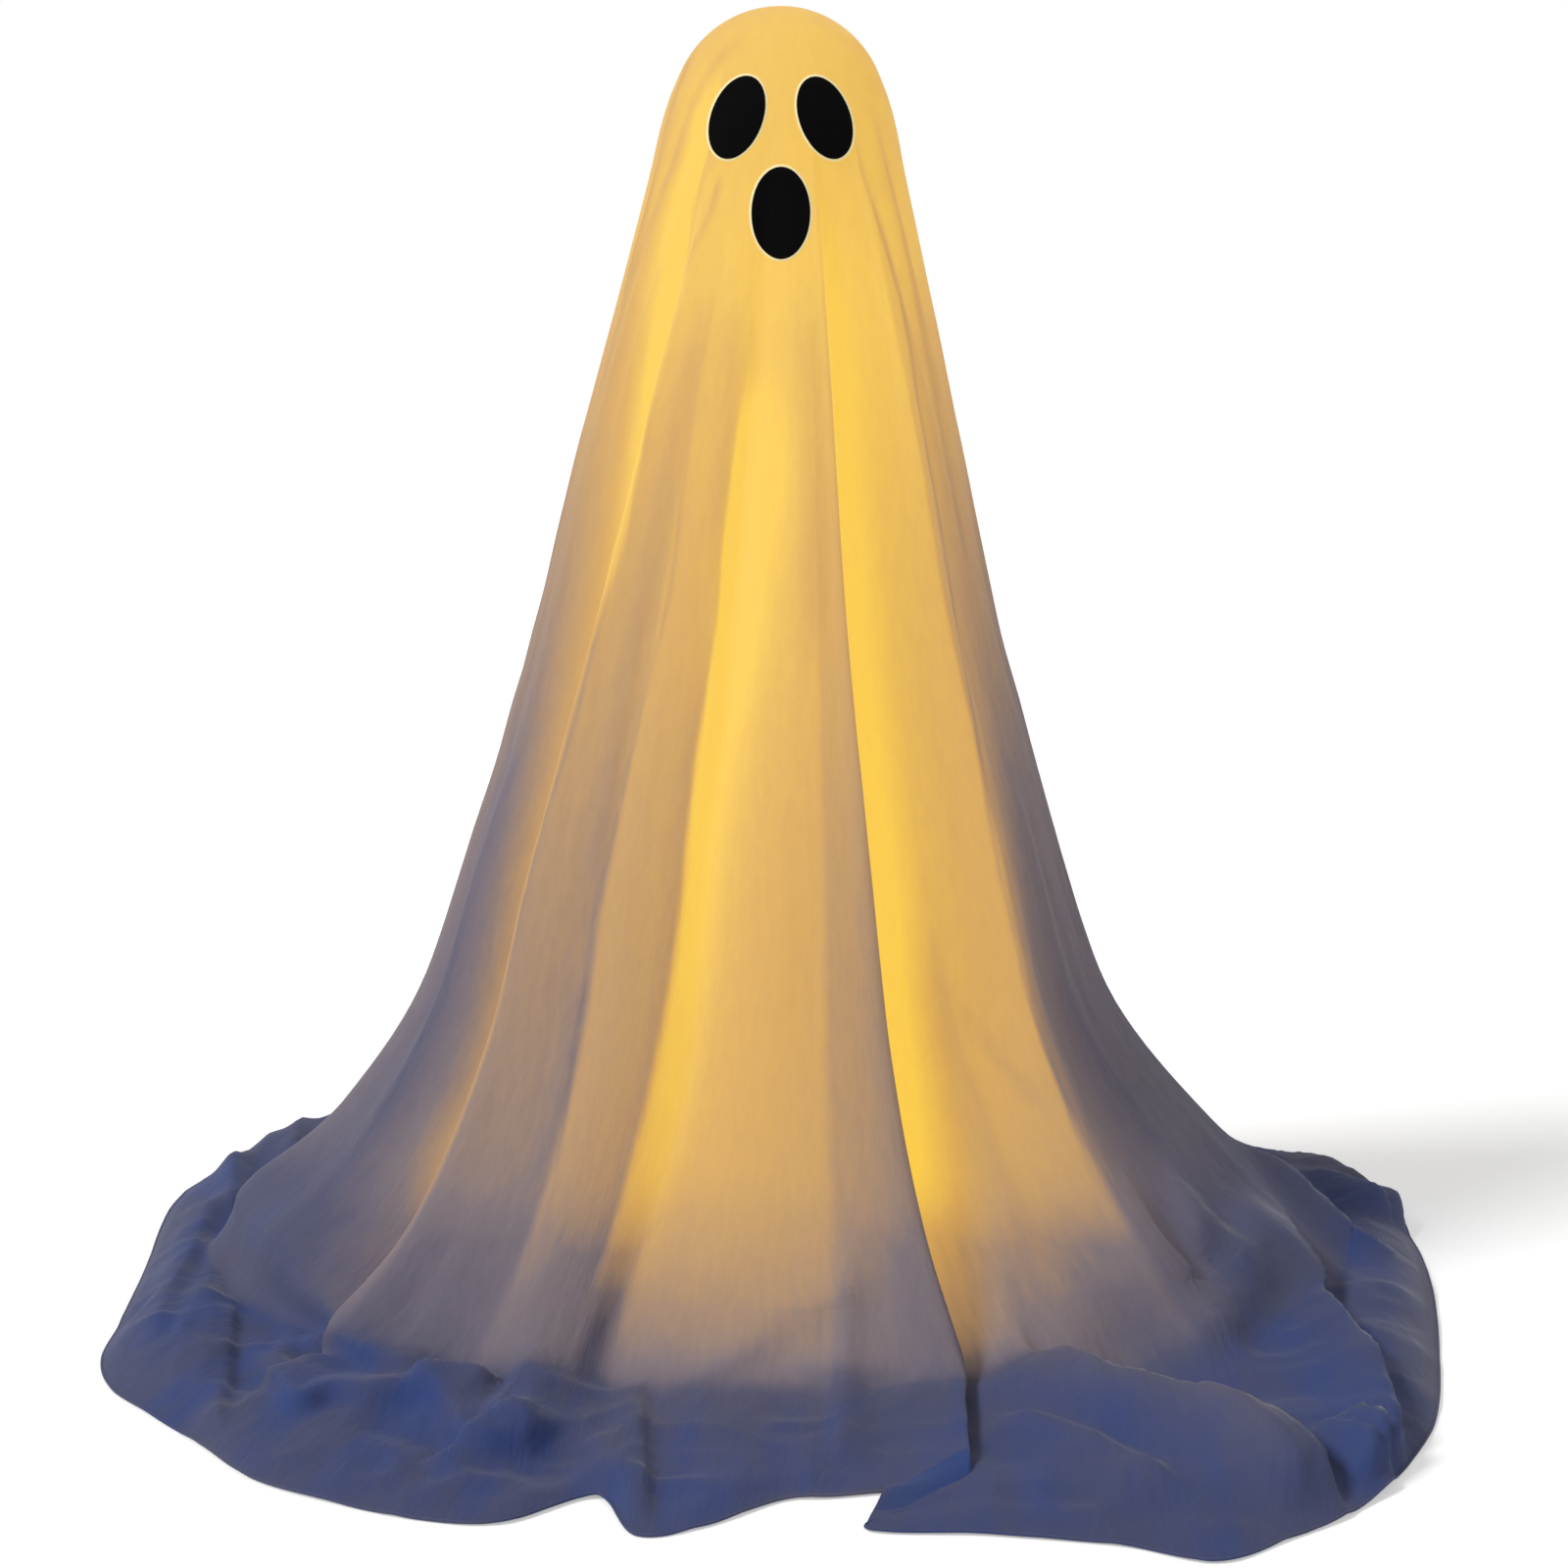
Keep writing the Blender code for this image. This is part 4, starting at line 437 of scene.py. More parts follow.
# Rows of the finished cloth: (first of the rows above, step), closest where it nears the floor
FINISHED_ROWS = [(0, 0.75), (56, 1 / 6), (65, 1.8), (147, 1)]
DOME_END = math.radians(66)
FOOT_SHARE = 0.030
HEAP_HEIGHT = 0.050
# Share of the height down to which the columns keep their head azimuth, and where the foot's begins
HEAD_AZIMUTH_SHARE = 0.912
FOOT_AZIMUTH_SHARE = 0.104
FLATTENING_POWER = 1.5
DRIFT_POWER = 4
RISE_BALANCE = 0.5

# Head, middle and foot azimuths of each column of the cloth, in degrees from the front towards +X
COLUMN_AZIMUTHS = [
    (-90, -90, -92), (-76, -80, -82), (-62, -72, -74), (-50, -65, -67), (-40, -59, -62),
    (-32, -55, -58.5), (-26, -52.5, -56), (-20, -45, -50), (-14.5, -38, -43), (-11, -30, -37),
    (-8, -22, -31), (-4, -15, -27), (0, -8, -17), (5, 0, -7), (9, 8, 6),
    (12, 14, 17), (14, 17.5, 24.5), (17, 20.0, 27), (21, 26, 33), (27, 35, 40),
    (32, 44, 48), (35, 50, 54), (41, 56, 60), (56, 67, 70), (70, 80, 82),
    (88, 92, 94), (102, 104, 106), (116, 117, 118), (126, 127, 128), (140, 140, 140),
    (152, 152, 152), (163, 163, 163), (174, 174, 174), (187, 187, 187), (198, 198, 198),
    (210, 210, 210), (221, 221, 221), (234, 234, 233), (246, 245, 244), (258, 257, 256),
]
# How far each column stands out on its fold, as a share of the fold depth: ridges above 0, valleys below
COLUMN_RISE_SHARES = [
    0.60, 0.30, 0.45, -0.15, -0.85, -1.00, 0.85, 0.65, 0.30, 0.40,
    -0.10, -0.85, -0.35, 0.20, 0.45, 0.75, 1.00, -0.85, -1.00, -0.50,
    -0.05, 0.85, 0.50, 0.25, 0.35, 0.50, -0.45, -0.75, 0.55, 0.35,
    -0.75, -0.35, 0.65, 0.25, -0.80, -0.10, 0.70, 0.05, -0.75, -0.15,
]
# Where each column meets the hem, as shares of the skirt's half width and half depth
COLUMN_HEM_SHARES = [
    (-0.97, 0.06), (-0.95, -0.19), (-0.94, -0.34), (-0.90, -0.45), (-0.83, -0.54),
    (-0.78, -0.60), (-0.73, -0.66), (-0.65, -0.76), (-0.54, -0.83), (-0.43, -0.88),
    (-0.33, -0.89), (-0.225, -0.815), (-0.17, -0.925), (-0.09, -0.90), (0.0, -0.825),
    (0.065, -0.815), (0.235, -0.785), (0.10, -0.905), (0.25, -0.925), (0.40, -0.955),
    (0.50, -1.0), (0.59, -0.94), (0.71, -0.83), (0.84, -0.60), (0.92, -0.30),
    (0.98, 0.02), (0.99, 0.25), (0.935, 0.45), (0.85, 0.615), (0.72, 0.79),
    (0.54, 0.90), (0.35, 0.97), (0.155, 1.0), (-0.08, 0.98), (-0.27, 0.96),
    (-0.48, 0.91), (-0.67, 0.81), (-0.83, 0.68), (-0.96, 0.56), (-1.0, 0.38),
]
# How high the skirt heaps up halfway to the hem, as a share of the heap height
COLUMN_HEAP_SHARES = [
    0.20, 0.15, 0.30, 0.25, 0.20, 0.15, 0.10, 0.10, 0.10, 0.05,
    0.05, 0.05, 0.05, 0.05, 0.00, 0.00, 0.10, 0.00, 0.05, 0.10,
    0.15, 0.20, 0.20, 0.30, 0.35, 0.30, 0.45, 0.55, 0.45, 0.30,
    0.20, 0.30, 0.25, 0.15, 0.30, 0.45, 0.70, 0.90, 0.60, 0.30,
]
# How much light the cloth lets through, by column place: 1 is a single layer, less is doubled or
# tripled cloth. Two places close together are the edge of a layer.
LIGHT_SHARES = [
    (0, 0.60), (1, 0.45), (2, 0.40), (3, 0.60), (4, 0.86), (5, 0.90), (5.6, 0.84), (6.1, 0.74),
    (6.25, 0.60), (7, 0.60), (8.15, 0.57), (8.35, 0.70), (9, 0.68), (10, 0.72), (11, 0.80), (12, 0.84),
    (13, 0.82), (14.2, 0.77), (14.4, 0.66), (15, 0.64), (16, 0.54), (16.4, 0.52), (16.62, 1.12),
    (17, 1.18), (18, 1.08), (19, 0.89), (20, 0.84), (20.9, 0.82), (21.1, 0.60), (22, 0.50), (23, 0.40),
    (24, 0.42), (25, 0.42), (26, 0.50), (27, 0.85), (28, 0.50), (29, 0.60), (30, 1.00), (31, 0.85),
    (32, 0.55), (33, 0.70), (34, 1.05), (35, 0.80), (36, 0.50), (37, 0.55), (38, 0.75), (39, 0.50),
    (40, 0.60),
]
# Side profile of the cloth: shares of the figure's height and of the skirt's half width
PROFILE_SHARES = [
    (0.030, 0.830), (0.045, 0.806), (0.062, 0.778), (0.085, 0.740), (0.108, 0.700), (0.135, 0.654),
    (0.169, 0.597), (0.201, 0.551), (0.233, 0.514), (0.296, 0.468), (0.359, 0.431), (0.421, 0.395),
    (0.483, 0.362), (0.545, 0.330), (0.606, 0.303), (0.666, 0.278), (0.726, 0.251), (0.786, 0.223),
    (0.845, 0.196), (0.880, 0.180), (0.905, 0.170), (0.930, 0.157),
]
# How far the cloth's sides drift towards -X: shares of the height and of the skirt's half width
DRIFT_SHARES = [(0.0, 0.0), (0.05, -0.004), (0.12, -0.014), (0.22, -0.023), (0.31, -0.025), (0.42, -0.023),
                (0.52, -0.021), (0.65, -0.016), (0.80, -0.008), (0.93, -0.003), (1.0, -0.001)]
# How much nearer the pole the front hangs than the sides: shares of the height and of the radius
FRONT_FLATTENING_SHARES = [(0.0, 0.36), (0.062, 0.42), (0.121, 0.42), (0.207, 0.32), (0.311, 0.235),
                           (0.518, 0.14), (0.829, 0.0), (1.0, 0.0)]
# Growth of the folds down the cloth: shares of the height and of the fold depth
FOLD_GROWTH_SHARES = [(0.0, 0.80), (0.062, 0.95), (0.121, 1.0), (0.311, 0.74), (0.518, 0.50),
                      (0.70, 0.28), (0.829, 0.12), (0.91, 0.0), (1.0, 0.0)]


def through(table, place):
    """Read a smooth curve through a table of (place, value): cubic pieces with neighbour slopes."""
    places, values = np.array(table, float).T
    slopes = np.gradient(values, places)
    i = np.clip(np.searchsorted(places, place, side="right") - 1, 0, len(places) - 2)
    gap = places[i + 1] - places[i]
    t = np.clip((place - places[i]) / gap, 0, 1)
    return cubic(t, gap, values[i], values[i + 1], slopes[i], slopes[i + 1])


def round_columns(values, place, full_turn=0.0):
    """Read a closed, smooth curve through one value a column; full_turn is what one round adds."""
    values = np.array(values, float)
    count = len(values)
    k = np.floor(place).astype(int)
    before, here, after, later = [values[(k + step) % count] + full_turn * ((k + step) // count)
                                  for step in (-1, 0, 1, 2)]
    return cubic(place - k, 1, here, after, (after - before) / 2, (later - here) / 2)


def curve_along(rows, place):
    """Read a smooth curve down the rows of a grid at places given in rows: cubic pieces."""
    k = np.floor(place).astype(int)
    before, here, after, later = [rows[np.clip(k + step, 0, len(rows) - 1)] for step in (-1, 0, 1, 2)]
    return cubic((place - k)[:, None, None], 1, here, after, (after - before) / 2, (later - here) / 2)


FOLD_STEP = 0.003
FOLD_REACH = 2.5


def fold(plan, route, gentle, steep, taper=0.25):
    """How far up a fold each place of a plan lies, from 0 to 1, and the way to the fold's steep side.

    A bell across the nearest point of the route, wide on its left and narrow on its right, fading
    towards both of the route's ends. The widths are in millimetres.
    """
    gentle, steep = gentle / 1000, steep / 1000
    line = along_path(route, FOLD_STEP)
    reach = FOLD_REACH * max(gentle, steep)
    near = np.all((plan > line.min(0) - reach) & (plan < line.max(0) + reach), axis=-1)
    away = plan[near][:, None] - line[None]
    distance = (away ** 2).sum(-1)
    nearest = distance.argmin(1)
    ahead = np.gradient(line, axis=0)
    ahead /= np.linalg.norm(ahead, axis=1)[:, None]
    right = (ahead[:, ::-1] * (1, -1))[nearest]
    across = (away[np.arange(len(nearest)), nearest] * right).sum(1)
    distance = np.sqrt(distance[np.arange(len(nearest)), nearest])
    width = np.where(across > 0, steep, gentle)
    share = nearest / (len(line) - 1)
    bell = np.exp(-(distance / width) ** 2) * smooth_step(share / taper) * smooth_step((1 - share) / taper)
    height = np.zeros(plan.shape[:-1])
    side = np.zeros(plan.shape)
    height[near] = bell
    side[near] = right * bell[:, None]
    return height, side


LATTICE = (97, 89)


def lattice_noise(across, along, seed):
    """Smooth random heights from -1 to 1: random values at whole numbers, eased in between."""
    values = np.random.default_rng(seed).uniform(-1, 1, LATTICE)
    i, j = np.floor(across).astype(int), np.floor(along).astype(int)
    s, t = smooth_step(across - i), smooth_step(along - j)
    near = [values[(i + a) % LATTICE[0], (j + b) % LATTICE[1]] for a, b in ((0, 0), (1, 0), (0, 1), (1, 1))]
    return near[0] * (1 - s) * (1 - t) + near[1] * s * (1 - t) + near[2] * (1 - s) * t + near[3] * s * t


def laid_flat(route):
    """A route of (azimuth in degrees, height in mm), in metres on the hanging cloth unrolled flat."""
    angles, heights = np.array(route, float).T
    heights = heights / 1000
    reach = np.interp(heights, height[::-1], side_radius[::-1])
    return np.column_stack((reach * np.radians(angles), heights))


columns = np.r_[np.arange(FRONT_SPANS * FRONT_SAMPLES) / FRONT_SAMPLES,
                FRONT_SPANS + np.arange((len(COLUMN_AZIMUTHS) - FRONT_SPANS) * BACK_SAMPLES) / BACK_SAMPLES]
head_azimuth, middle_azimuth, foot_azimuth = [
    np.radians(round_columns(values, columns, 360.0)) for values in np.array(COLUMN_AZIMUTHS).T]
rise = round_columns(COLUMN_RISE_SHARES, columns)
heap = round_columns(COLUMN_HEAP_SHARES, columns)
light_share = np.interp(columns, *np.array(LIGHT_SHARES).T)
hem_x, hem_y = [round_columns(values, columns) for values in np.array(COLUMN_HEM_SHARES).T]
hem = np.column_stack((hem_x * SKIRT_HALF_WIDTH, hem_y * SKIRT_HALF_DEPTH))

dome_turn = np.linspace(0, DOME_END, HEAD_ROWS + 1)[1:]
dome_height = FIGURE_HEIGHT - HEAD_RADIUS + HEAD_RADIUS * np.cos(dome_turn)
dome_radius = HEAD_RADIUS * np.sin(dome_turn)
body_share = np.linspace(0, 1, BODY_ROWS + 1)[1:]
body_height = dome_height[-1] + (FOOT_SHARE * FIGURE_HEIGHT - dome_height[-1]) * body_share
side_table = [(h * FIGURE_HEIGHT, r * SKIRT_HALF_WIDTH) for h, r in PROFILE_SHARES]
side_table.append((dome_height[-1], dome_radius[-1]))
height = np.r_[dome_height, body_height]
side_radius = np.r_[dome_radius, through(side_table, body_height)]

share = height / FIGURE_HEIGHT
s = np.clip((HEAD_AZIMUTH_SHARE - share) / (HEAD_AZIMUTH_SHARE - FOOT_AZIMUTH_SHARE), 0, 1)[:, None]
azimuth = (head_azimuth * (2 * s - 1) * (s - 1) + middle_azimuth * 4 * s * (1 - s)
           + foot_azimuth * s * (2 * s - 1))
flattening = through(FRONT_FLATTENING_SHARES, share)[:, None]
radius = side_radius[:, None] * (1 - flattening * np.maximum(np.cos(azimuth), 0) ** FLATTENING_POWER)
radius = radius + through(FOLD_GROWTH_SHARES, share)[:, None] * FOLD_DEPTH * (rise - RISE_BALANCE)

# Folds of the hanging cloth: height, gentle width and steep width in mm, then the route's (azimuth
# in degrees, height in mm). The steep side lies to the right of the route as it runs.
HANGING_FOLDS = [
    (2.2, 9, 4, [(-36, 905), (-48, 870), (-57, 820), (-64, 740), (-68, 650)]),
    (2.0, 8, 3, [(-26, 900), (-39, 860), (-48, 800), (-57, 720), (-61, 610)]),
    (1.6, 7, 3, [(-52, 905), (-64, 870), (-72, 810), (-76, 730)]),
    (1.2, 6, 3, [(-22, 880), (-33, 850), (-42, 805)]),
    (1.8, 10, 4, [(64, 560), (56, 680), (46, 780), (38, 860)]),
    (1.6, 8, 4, [(70, 640), (64, 740), (56, 820), (48, 880)]),
    (2.5, 16, 10, [(-24, 770), (-31, 690), (-37, 600), (-40, 500)]),
    (2.2, 14, 10, [(-15, 760), (-17, 660), (-20, 560)]),
    (2.5, 14, 9, [(8, 480), (9, 600), (8, 720), (7, 780)]),
    (2.4, 13, 5, [(-43, 300), (-42, 400), (-40, 500), (-37, 580)]),
    (2.0, 9, 4, [(-44, 110), (-43, 190), (-43, 290)]),
    (3.5, 20, 8, [(44, 60), (43, 140), (40, 240), (37, 330)]),
    (2.6, 5, 3, [(38, 262), (43, 245), (46, 225), (49, 200), (52, 165)]),
    (2.0, 4, 3, [(47, 224), (52, 220), (57, 213)]),
    (2.0, 4, 3, [(50, 196), (55, 186), (60, 172)]),
    (6, 30, 14, [(70, 120), (69, 220), (67, 330), (66, 440)]),
    (6, 30, 14, [(-71, 450), (-73, 330), (-74, 220), (-75, 120)]),
    (5, 22, 12, [(-63, 140), (-64, 240), (-65, 340)]),
]
# A fold keeps back this share of the light for each mm of its height, up to some height
PLEAT_SHADE = 0.03
PLEAT_SHADE_UP_TO = 3
kept_back = 0.0
body_xy = np.stack((side_radius[:, None] * azimuth, np.repeat(height[:, None], len(columns), 1)), -1)
for size, gentle, steep, route in HANGING_FOLDS:
    up = fold(body_xy, laid_flat(route), gentle, steep)[0]
    radius = radius + size / 1000 * up
    kept_back = kept_back + PLEAT_SHADE * min(size, PLEAT_SHADE_UP_TO) * up

# Unevenness of the cloth where it hangs loose: height in metres, repeats a radian, slant, repeats a
# metre, and seed
LOOSE_BELOW_SHARE = 0.90
LOOSE_OVER_SHARE = 0.3
UNEVENNESS = [(0.0016, 9, 0, 7, 3), (0.0006, 30, 8, 22, 4)]
loose = np.clip((LOOSE_BELOW_SHARE - share) / LOOSE_OVER_SHARE, 0, 1)[:, None]
for size, across, slant, along, seed in UNEVENNESS:
    radius = radius + size * loose * lattice_noise(azimuth * across + height[:, None] * slant,
                                                   height[:, None] * along, seed)
drift = through(DRIFT_SHARES, share)[:, None] * SKIRT_HALF_WIDTH
body = np.stack((radius * np.sin(azimuth) + drift * np.sin(azimuth) ** DRIFT_POWER,
                 -radius * np.cos(azimuth), np.repeat(height[:, None], len(columns), 1)), -1)

# The skirt runs on from the foot to the hem. It comes down to the floor in a soft curve, and the
# hanging folds run out on it as low ridges.
SETTLE_RATE = 7
RUN_OUT_HEIGHT = 0.007
RUN_OUT_POWER = 0.6
BEND_ROW = HEAD_ROWS + BODY_ROWS + 3
BEND_ROWS = 9
BEND_ROUNDS = 60
across = np.linspace(0, 1, SKIRT_ROWS + 1)[1:, None]
foot = body[-1]
skirt_xy = foot[None, :, :2] + (hem - foot[:, :2])[None] * across[..., None]
settle = np.exp(-SETTLE_RATE * across)
skirt_z = (FLOOR_CLEARANCE + (foot[None, :, 2] - FLOOR_CLEARANCE) * settle
           + RUN_OUT_HEIGHT * (rise + 1.0)[None] * (1 - across) ** RUN_OUT_POWER * (1 - settle)
           + HEAP_HEIGHT * heap[None] * np.sin(math.pi * across))
cloth = np.concatenate((body, np.concatenate((skirt_xy, skirt_z[..., None]), -1)), 0)
soften = np.exp(-((np.arange(len(cloth)) - BEND_ROW) / BEND_ROWS) ** 2)[1:-1, None, None]
for _ in range(BEND_ROUNDS):
    cloth[1:-1] += 0.5 * soften * ((cloth[:-2] + cloth[2:]) / 2 - cloth[1:-1])
row_places = np.concatenate([np.arange(start, end, step) for (start, step), (end, _)
                             in zip(FINISHED_ROWS[:-1], FINISHED_ROWS[1:])] + [[len(cloth) - 1]])
cloth = curve_along(cloth, row_places)
kept_back = np.concatenate((kept_back, np.zeros((SKIRT_ROWS, len(columns)))), 0)
kept_back = curve_along(kept_back[..., None], row_places)[..., 0]

# Light beside the edges of the layers: the share kept back, or let through where it is below zero,
# gentle width and steep width in mm, then the route's (azimuth, height).
LIGHT_EDGES = [
    (-0.20, 24, 2, [(-50, 500), (-47, 562), (-44.6, 618), (-43, 685), (-42, 740), (-39.5, 818),
                    (-35.7, 851), (-34, 890), (-33, 930)]),
    (-0.34, 34, 2.5, [(-10, 720), (-14, 640), (-16.5, 580), (-18.3, 518), (-21.5, 451), (-23.1, 396),
                      (-24, 340), (-25.5, 285), (-28.7, 196), (-30.1, 140), (-30.8, 69), (-31, 40),
                      (-31, 20)]),
    (0.12, 14, 2, [(-31, 40), (-30.8, 69), (-30.1, 140), (-28.7, 196), (-25.5, 285), (-24, 340),
                   (-23.1, 396), (-21.5, 451), (-18.3, 518)]),
    (0.14, 2.5, 1.5, [(-34.5, 890), (-35.7, 851), (-39.5, 818), (-42, 740), (-43, 685), (-44.6, 618),
                      (-47.2, 562), (-50.8, 507), (-53, 440), (-56, 373), (-57, 296), (-57, 196)]),
    (0.10, 7, 4, [(-24, 945), (-37, 925), (-47.7, 896), (-53.2, 862), (-61.9, 818), (-69.4, 773),
                  (-75.9, 673)]),
    (0.10, 7, 4, [(-78.7, 943), (-70.4, 907), (-70.9, 862), (-71.1, 818), (-76, 740)]),
    (0.10, 4, 2, [(-27, 840), (-28.5, 818), (-33.1, 796), (-39.6, 765)]),
    (0.11, 2.5, 1.5, [(-27, 690), (-29.3, 640), (-33.1, 529), (-36.3, 485), (-38.3, 440), (-40.6, 373),
                      (-43.2, 307), (-43.4, 251), (-42.7, 196), (-40.9, 140), (-38.7, 77)]),
    (0.18, 2.5, 1.5, [(30, 900), (33.9, 874), (38.2, 829), (43.4, 785), (47.7, 740), (49.1, 673),
                      (52, 596), (53, 551), (51.5, 470), (50.6, 385), (51.7, 307), (52.6, 251),
                      (53.4, 185), (52.9, 151), (53, 90)]),
    (0.10, 5, 3, [(50, 900), (56, 820), (60, 740), (63, 640), (66, 540)]),
]
LIGHT_EDGE_TAPER = 0.15
around = np.arctan2(cloth[..., 0], -cloth[..., 1])
unrolled = np.interp(cloth[..., 2], height[::-1], side_radius[::-1])
unrolled = np.stack((unrolled * around, cloth[..., 2]), -1)
for shade, gentle, steep, route in LIGHT_EDGES:
    kept_back = kept_back + shade * fold(unrolled, laid_flat(route), gentle, steep, LIGHT_EDGE_TAPER)[0]

# Folds of the cloth on the floor: height, gentle width, steep width and lean in mm, then the
# route's (x, y) in mm, seen from above. The steep side lies to the right of the route as it runs.
POLE_ROOM = 0.01
HOLLOW_DEPTH = 0.03
HIGHEST_LIP = 0.6
FLOOR_FOLDS = [
    (16, 32, 8, 0, [(-297, 62), (-307, 12), (-320, -15), (-347, -1), (-382, 25), (-418, 62)]),
    (15, 34, 10, 0, [(-422, 66), (-404, -17), (-380, -84), (-344, -143), (-316, -172), (-294, -227),
                     (-288, -243)]),
    (12, 26, 7, 0, [(-404, 47), (-382, 49), (-363, 52), (-337, 61), (-314, 90)]),
    (-12, 30, 22, 0, [(-420, 80), (-378, 32), (-345, 26), (-322, 36), (-290, 96)]),
    (11, 28, 8, 0, [(-345, -177), (-314, -212), (-271, -252), (-231, -276)]),
    (13, 34, 8, 0, [(-384, -165), (-369, -209), (-337, -282), (-319, -316), (-307, -303), (-273, -308),
                    (-235, -310), (-215, -341), (-202, -371), (-188, -378), (-169, -370), (-146, -338),
                    (-126, -329), (-108, -325)]),
    (-6, 26, 20, 0, [(-290, -340), (-222, -366), (-190, -398), (-158, -392), (-114, -352)]),
    (12, 22, 6, 0, [(-185, -285), (-222, -286), (-256, -294)]),
    (9, 26, 5, 3, [(-168, -329), (-182, -351), (-204, -380), (-232, -408)]),
    (7, 24, 12, 0, [(-398, -308), (-407, -224), (-424, -98), (-430, 21), (-428, 90)]),
    (8, 22, 9, 0, [(-432, -262), (-448, -150), (-458, 15), (-476, 180)]),
    (7, 18, 6, 0, [(-368, -358), (-386, -235), (-408, -100)]),
    (12, 16, 8, 0, [(-440, 70), (-456, 180), (-478, 300)]),
    (28, 44, 7, 10, [(361, -490), (327, -431), (286, -379), (253, -341), (218, -310), (192, -279),
                     (171, -252), (160, -205)]),
    (-10, 22, 22, 0, [(340, -329), (301, -287), (265, -256), (234, -233), (209, -211)]),
    (10, 24, 7, 0, [(302, -187), (268, -176), (237, -138)]),
    (-10, 30, 30, 0, [(290, -130), (303, -80), (316, -30)]),
    (11, 26, 9, 0, [(251, -470), (212, -398), (170, -350), (124, -318)]),
    (9, 20, 8, 0, [(325, -480), (300, -425), (262, -352)]),
    (24, 22, 5, 8, [(398, -468), (384, -418), (368, -372), (340, -362)]),
    (14, 14, 6, 4, [(368, -436), (360, -398), (334, -372)]),
    (20, 30, 7, 4, [(397, -440), (396, -352), (400, -262), (392, -180), (383, -77), (376, -20)]),
    (15, 26, 14, 0, [(360, -50), (330, -148), (304, -205), (288, -256)]),
    (18, 24, 9, 4, [(478, -20), (433, 0), (393, 30), (350, 60)]),
    (16, 26, 10, 0, [(456, -20), (434, 62), (424, 130), (410, 237)]),
    (24, 30, 6, 8, [(507, 90), (506, 160), (492, 215), (470, 262), (420, 280)]),
    (15, 24, 10, 5, [(488, 84), (472, 128), (450, 172), (420, 190)]),
    (18, 34, 12, 0, [(262, -20), (285, -100), (306, -176)]),
    (12, 16, 9, 3, [(-412, 190), (-420, 260), (-424, 340)]),
    (10, 18, 9, 0, [(-436, 240), (-446, 300), (-440, 350)]),
    (11, 30, 9, 0, [(-166, -235), (-176, -290), (-190, -371)]),
    (9, 20, 7, 0, [(-84, -500), (-88, -415), (-96, -311), (-100, -250)]),
    (3.5, 14, 8, 2, [(-90, -290), (-50, -272), (-10, -250), (20, -240), (70, -232)]),
    (3, 12, 7, 2, [(0, -262), (38, -272), (90, -274)]),
    (3, 12, 7, 0, [(-20, -340), (15, -338), (45, -335)]),
    (7, 14, 8, 0, [(46, -200), (42, -300), (38, -410)]),
    (9, 16, 8, 0, [(-126, -350), (-112, -400), (-114, -445)]),
    (14, 34, 10, 4, [(300, 300), (340, 390), (330, 460)]),
    (16, 40, 12, 4, [(180, 330), (190, 430), (160, 500)]),
    (14, 34, 10, 4, [(60, 340), (30, 430), (40, 510)]),
    (15, 36, 10, 4, [(-60, 350), (-90, 440), (-80, 500)]),
    (18, 38, 12, 4, [(-170, 330), (-220, 400), (-250, 460)]),
    (16, 36, 12, 4, [(-280, 280), (-350, 350), (-390, 400)]),
    (10, 20, 8, 0, [(240, 380), (150, 400), (70, 380)]),
    (10, 20, 8, 0, [(-20, 400), (-110, 380), (-180, 400)]),
]

# The folds on the floor grow below one height, to their full size over the next, and fade again near
# the hem. A crumple of low broken creases, of two sizes, lies over all of them.
FLOOR_FOLDS_BELOW = 0.15
FLOOR_FOLDS_OVER = 0.09
FADE_FROM_SHARE = 0.86
FADE_SHARE = 0.75
LOWEST_FACING = 0.2
# Repeats a metre, shift and seed of each crumple
CRUMPLES = [(13, 0, 5), (27, 9, 6)]
CRUMPLE_HEIGHT = 0.010
CRUMPLE_LEVEL = 0.6
plan = cloth[..., :2].copy()
level = cloth[..., 2].copy()
on_floor = smooth_step((FLOOR_FOLDS_BELOW - level) / FLOOR_FOLDS_OVER)
hem_share = ((row_places - HEAD_ROWS - BODY_ROWS + 1) / SKIRT_ROWS).clip(0)[:, None]
near_hem = 1 - FADE_SHARE * smooth_step((hem_share - FADE_FROM_SHARE) / (1 - FADE_FROM_SHARE))


def facing_way(grid):
    """Unit normal at each point of the closed grid: across its row and column neighbours."""
    normal = np.cross(np.gradient(grid, axis=0), np.roll(grid, -1, 1) - np.roll(grid, 1, 1))
    return normal / (np.linalg.norm(normal, axis=2)[..., None] + 1e-12)


facing = facing_way(cloth)
outward = (facing[..., :2] * plan).sum(2) / (np.hypot(plan[..., 0], plan[..., 1]) + POLE_ROOM)
facing[..., 2] = facing[..., 2].clip(LOWEST_FACING)
shift = np.zeros(cloth.shape)
for size, gentle, steep, lean, route in FLOOR_FOLDS:
    up, side = fold(plan, np.array(route) / 1000, gentle, steep)
    shift += size / 1000 * up[..., None] * facing
    shift[..., :2] += lean / 1000 * side
cloth += shift * (on_floor * near_hem)[..., None]
crumple = sum(np.abs(lattice_noise(plan[..., 0] * repeats + start, plan[..., 1] * repeats, seed))
              for repeats, start, seed in CRUMPLES) / len(CRUMPLES)
cloth[..., 2] += (CRUMPLE_HEIGHT * (CRUMPLE_LEVEL - crumple).clip(0) * on_floor * smooth_step(hem_share * 4)
                  * near_hem)
cloth[..., 2] = np.maximum(cloth[..., 2], FLOOR_CLEARANCE)
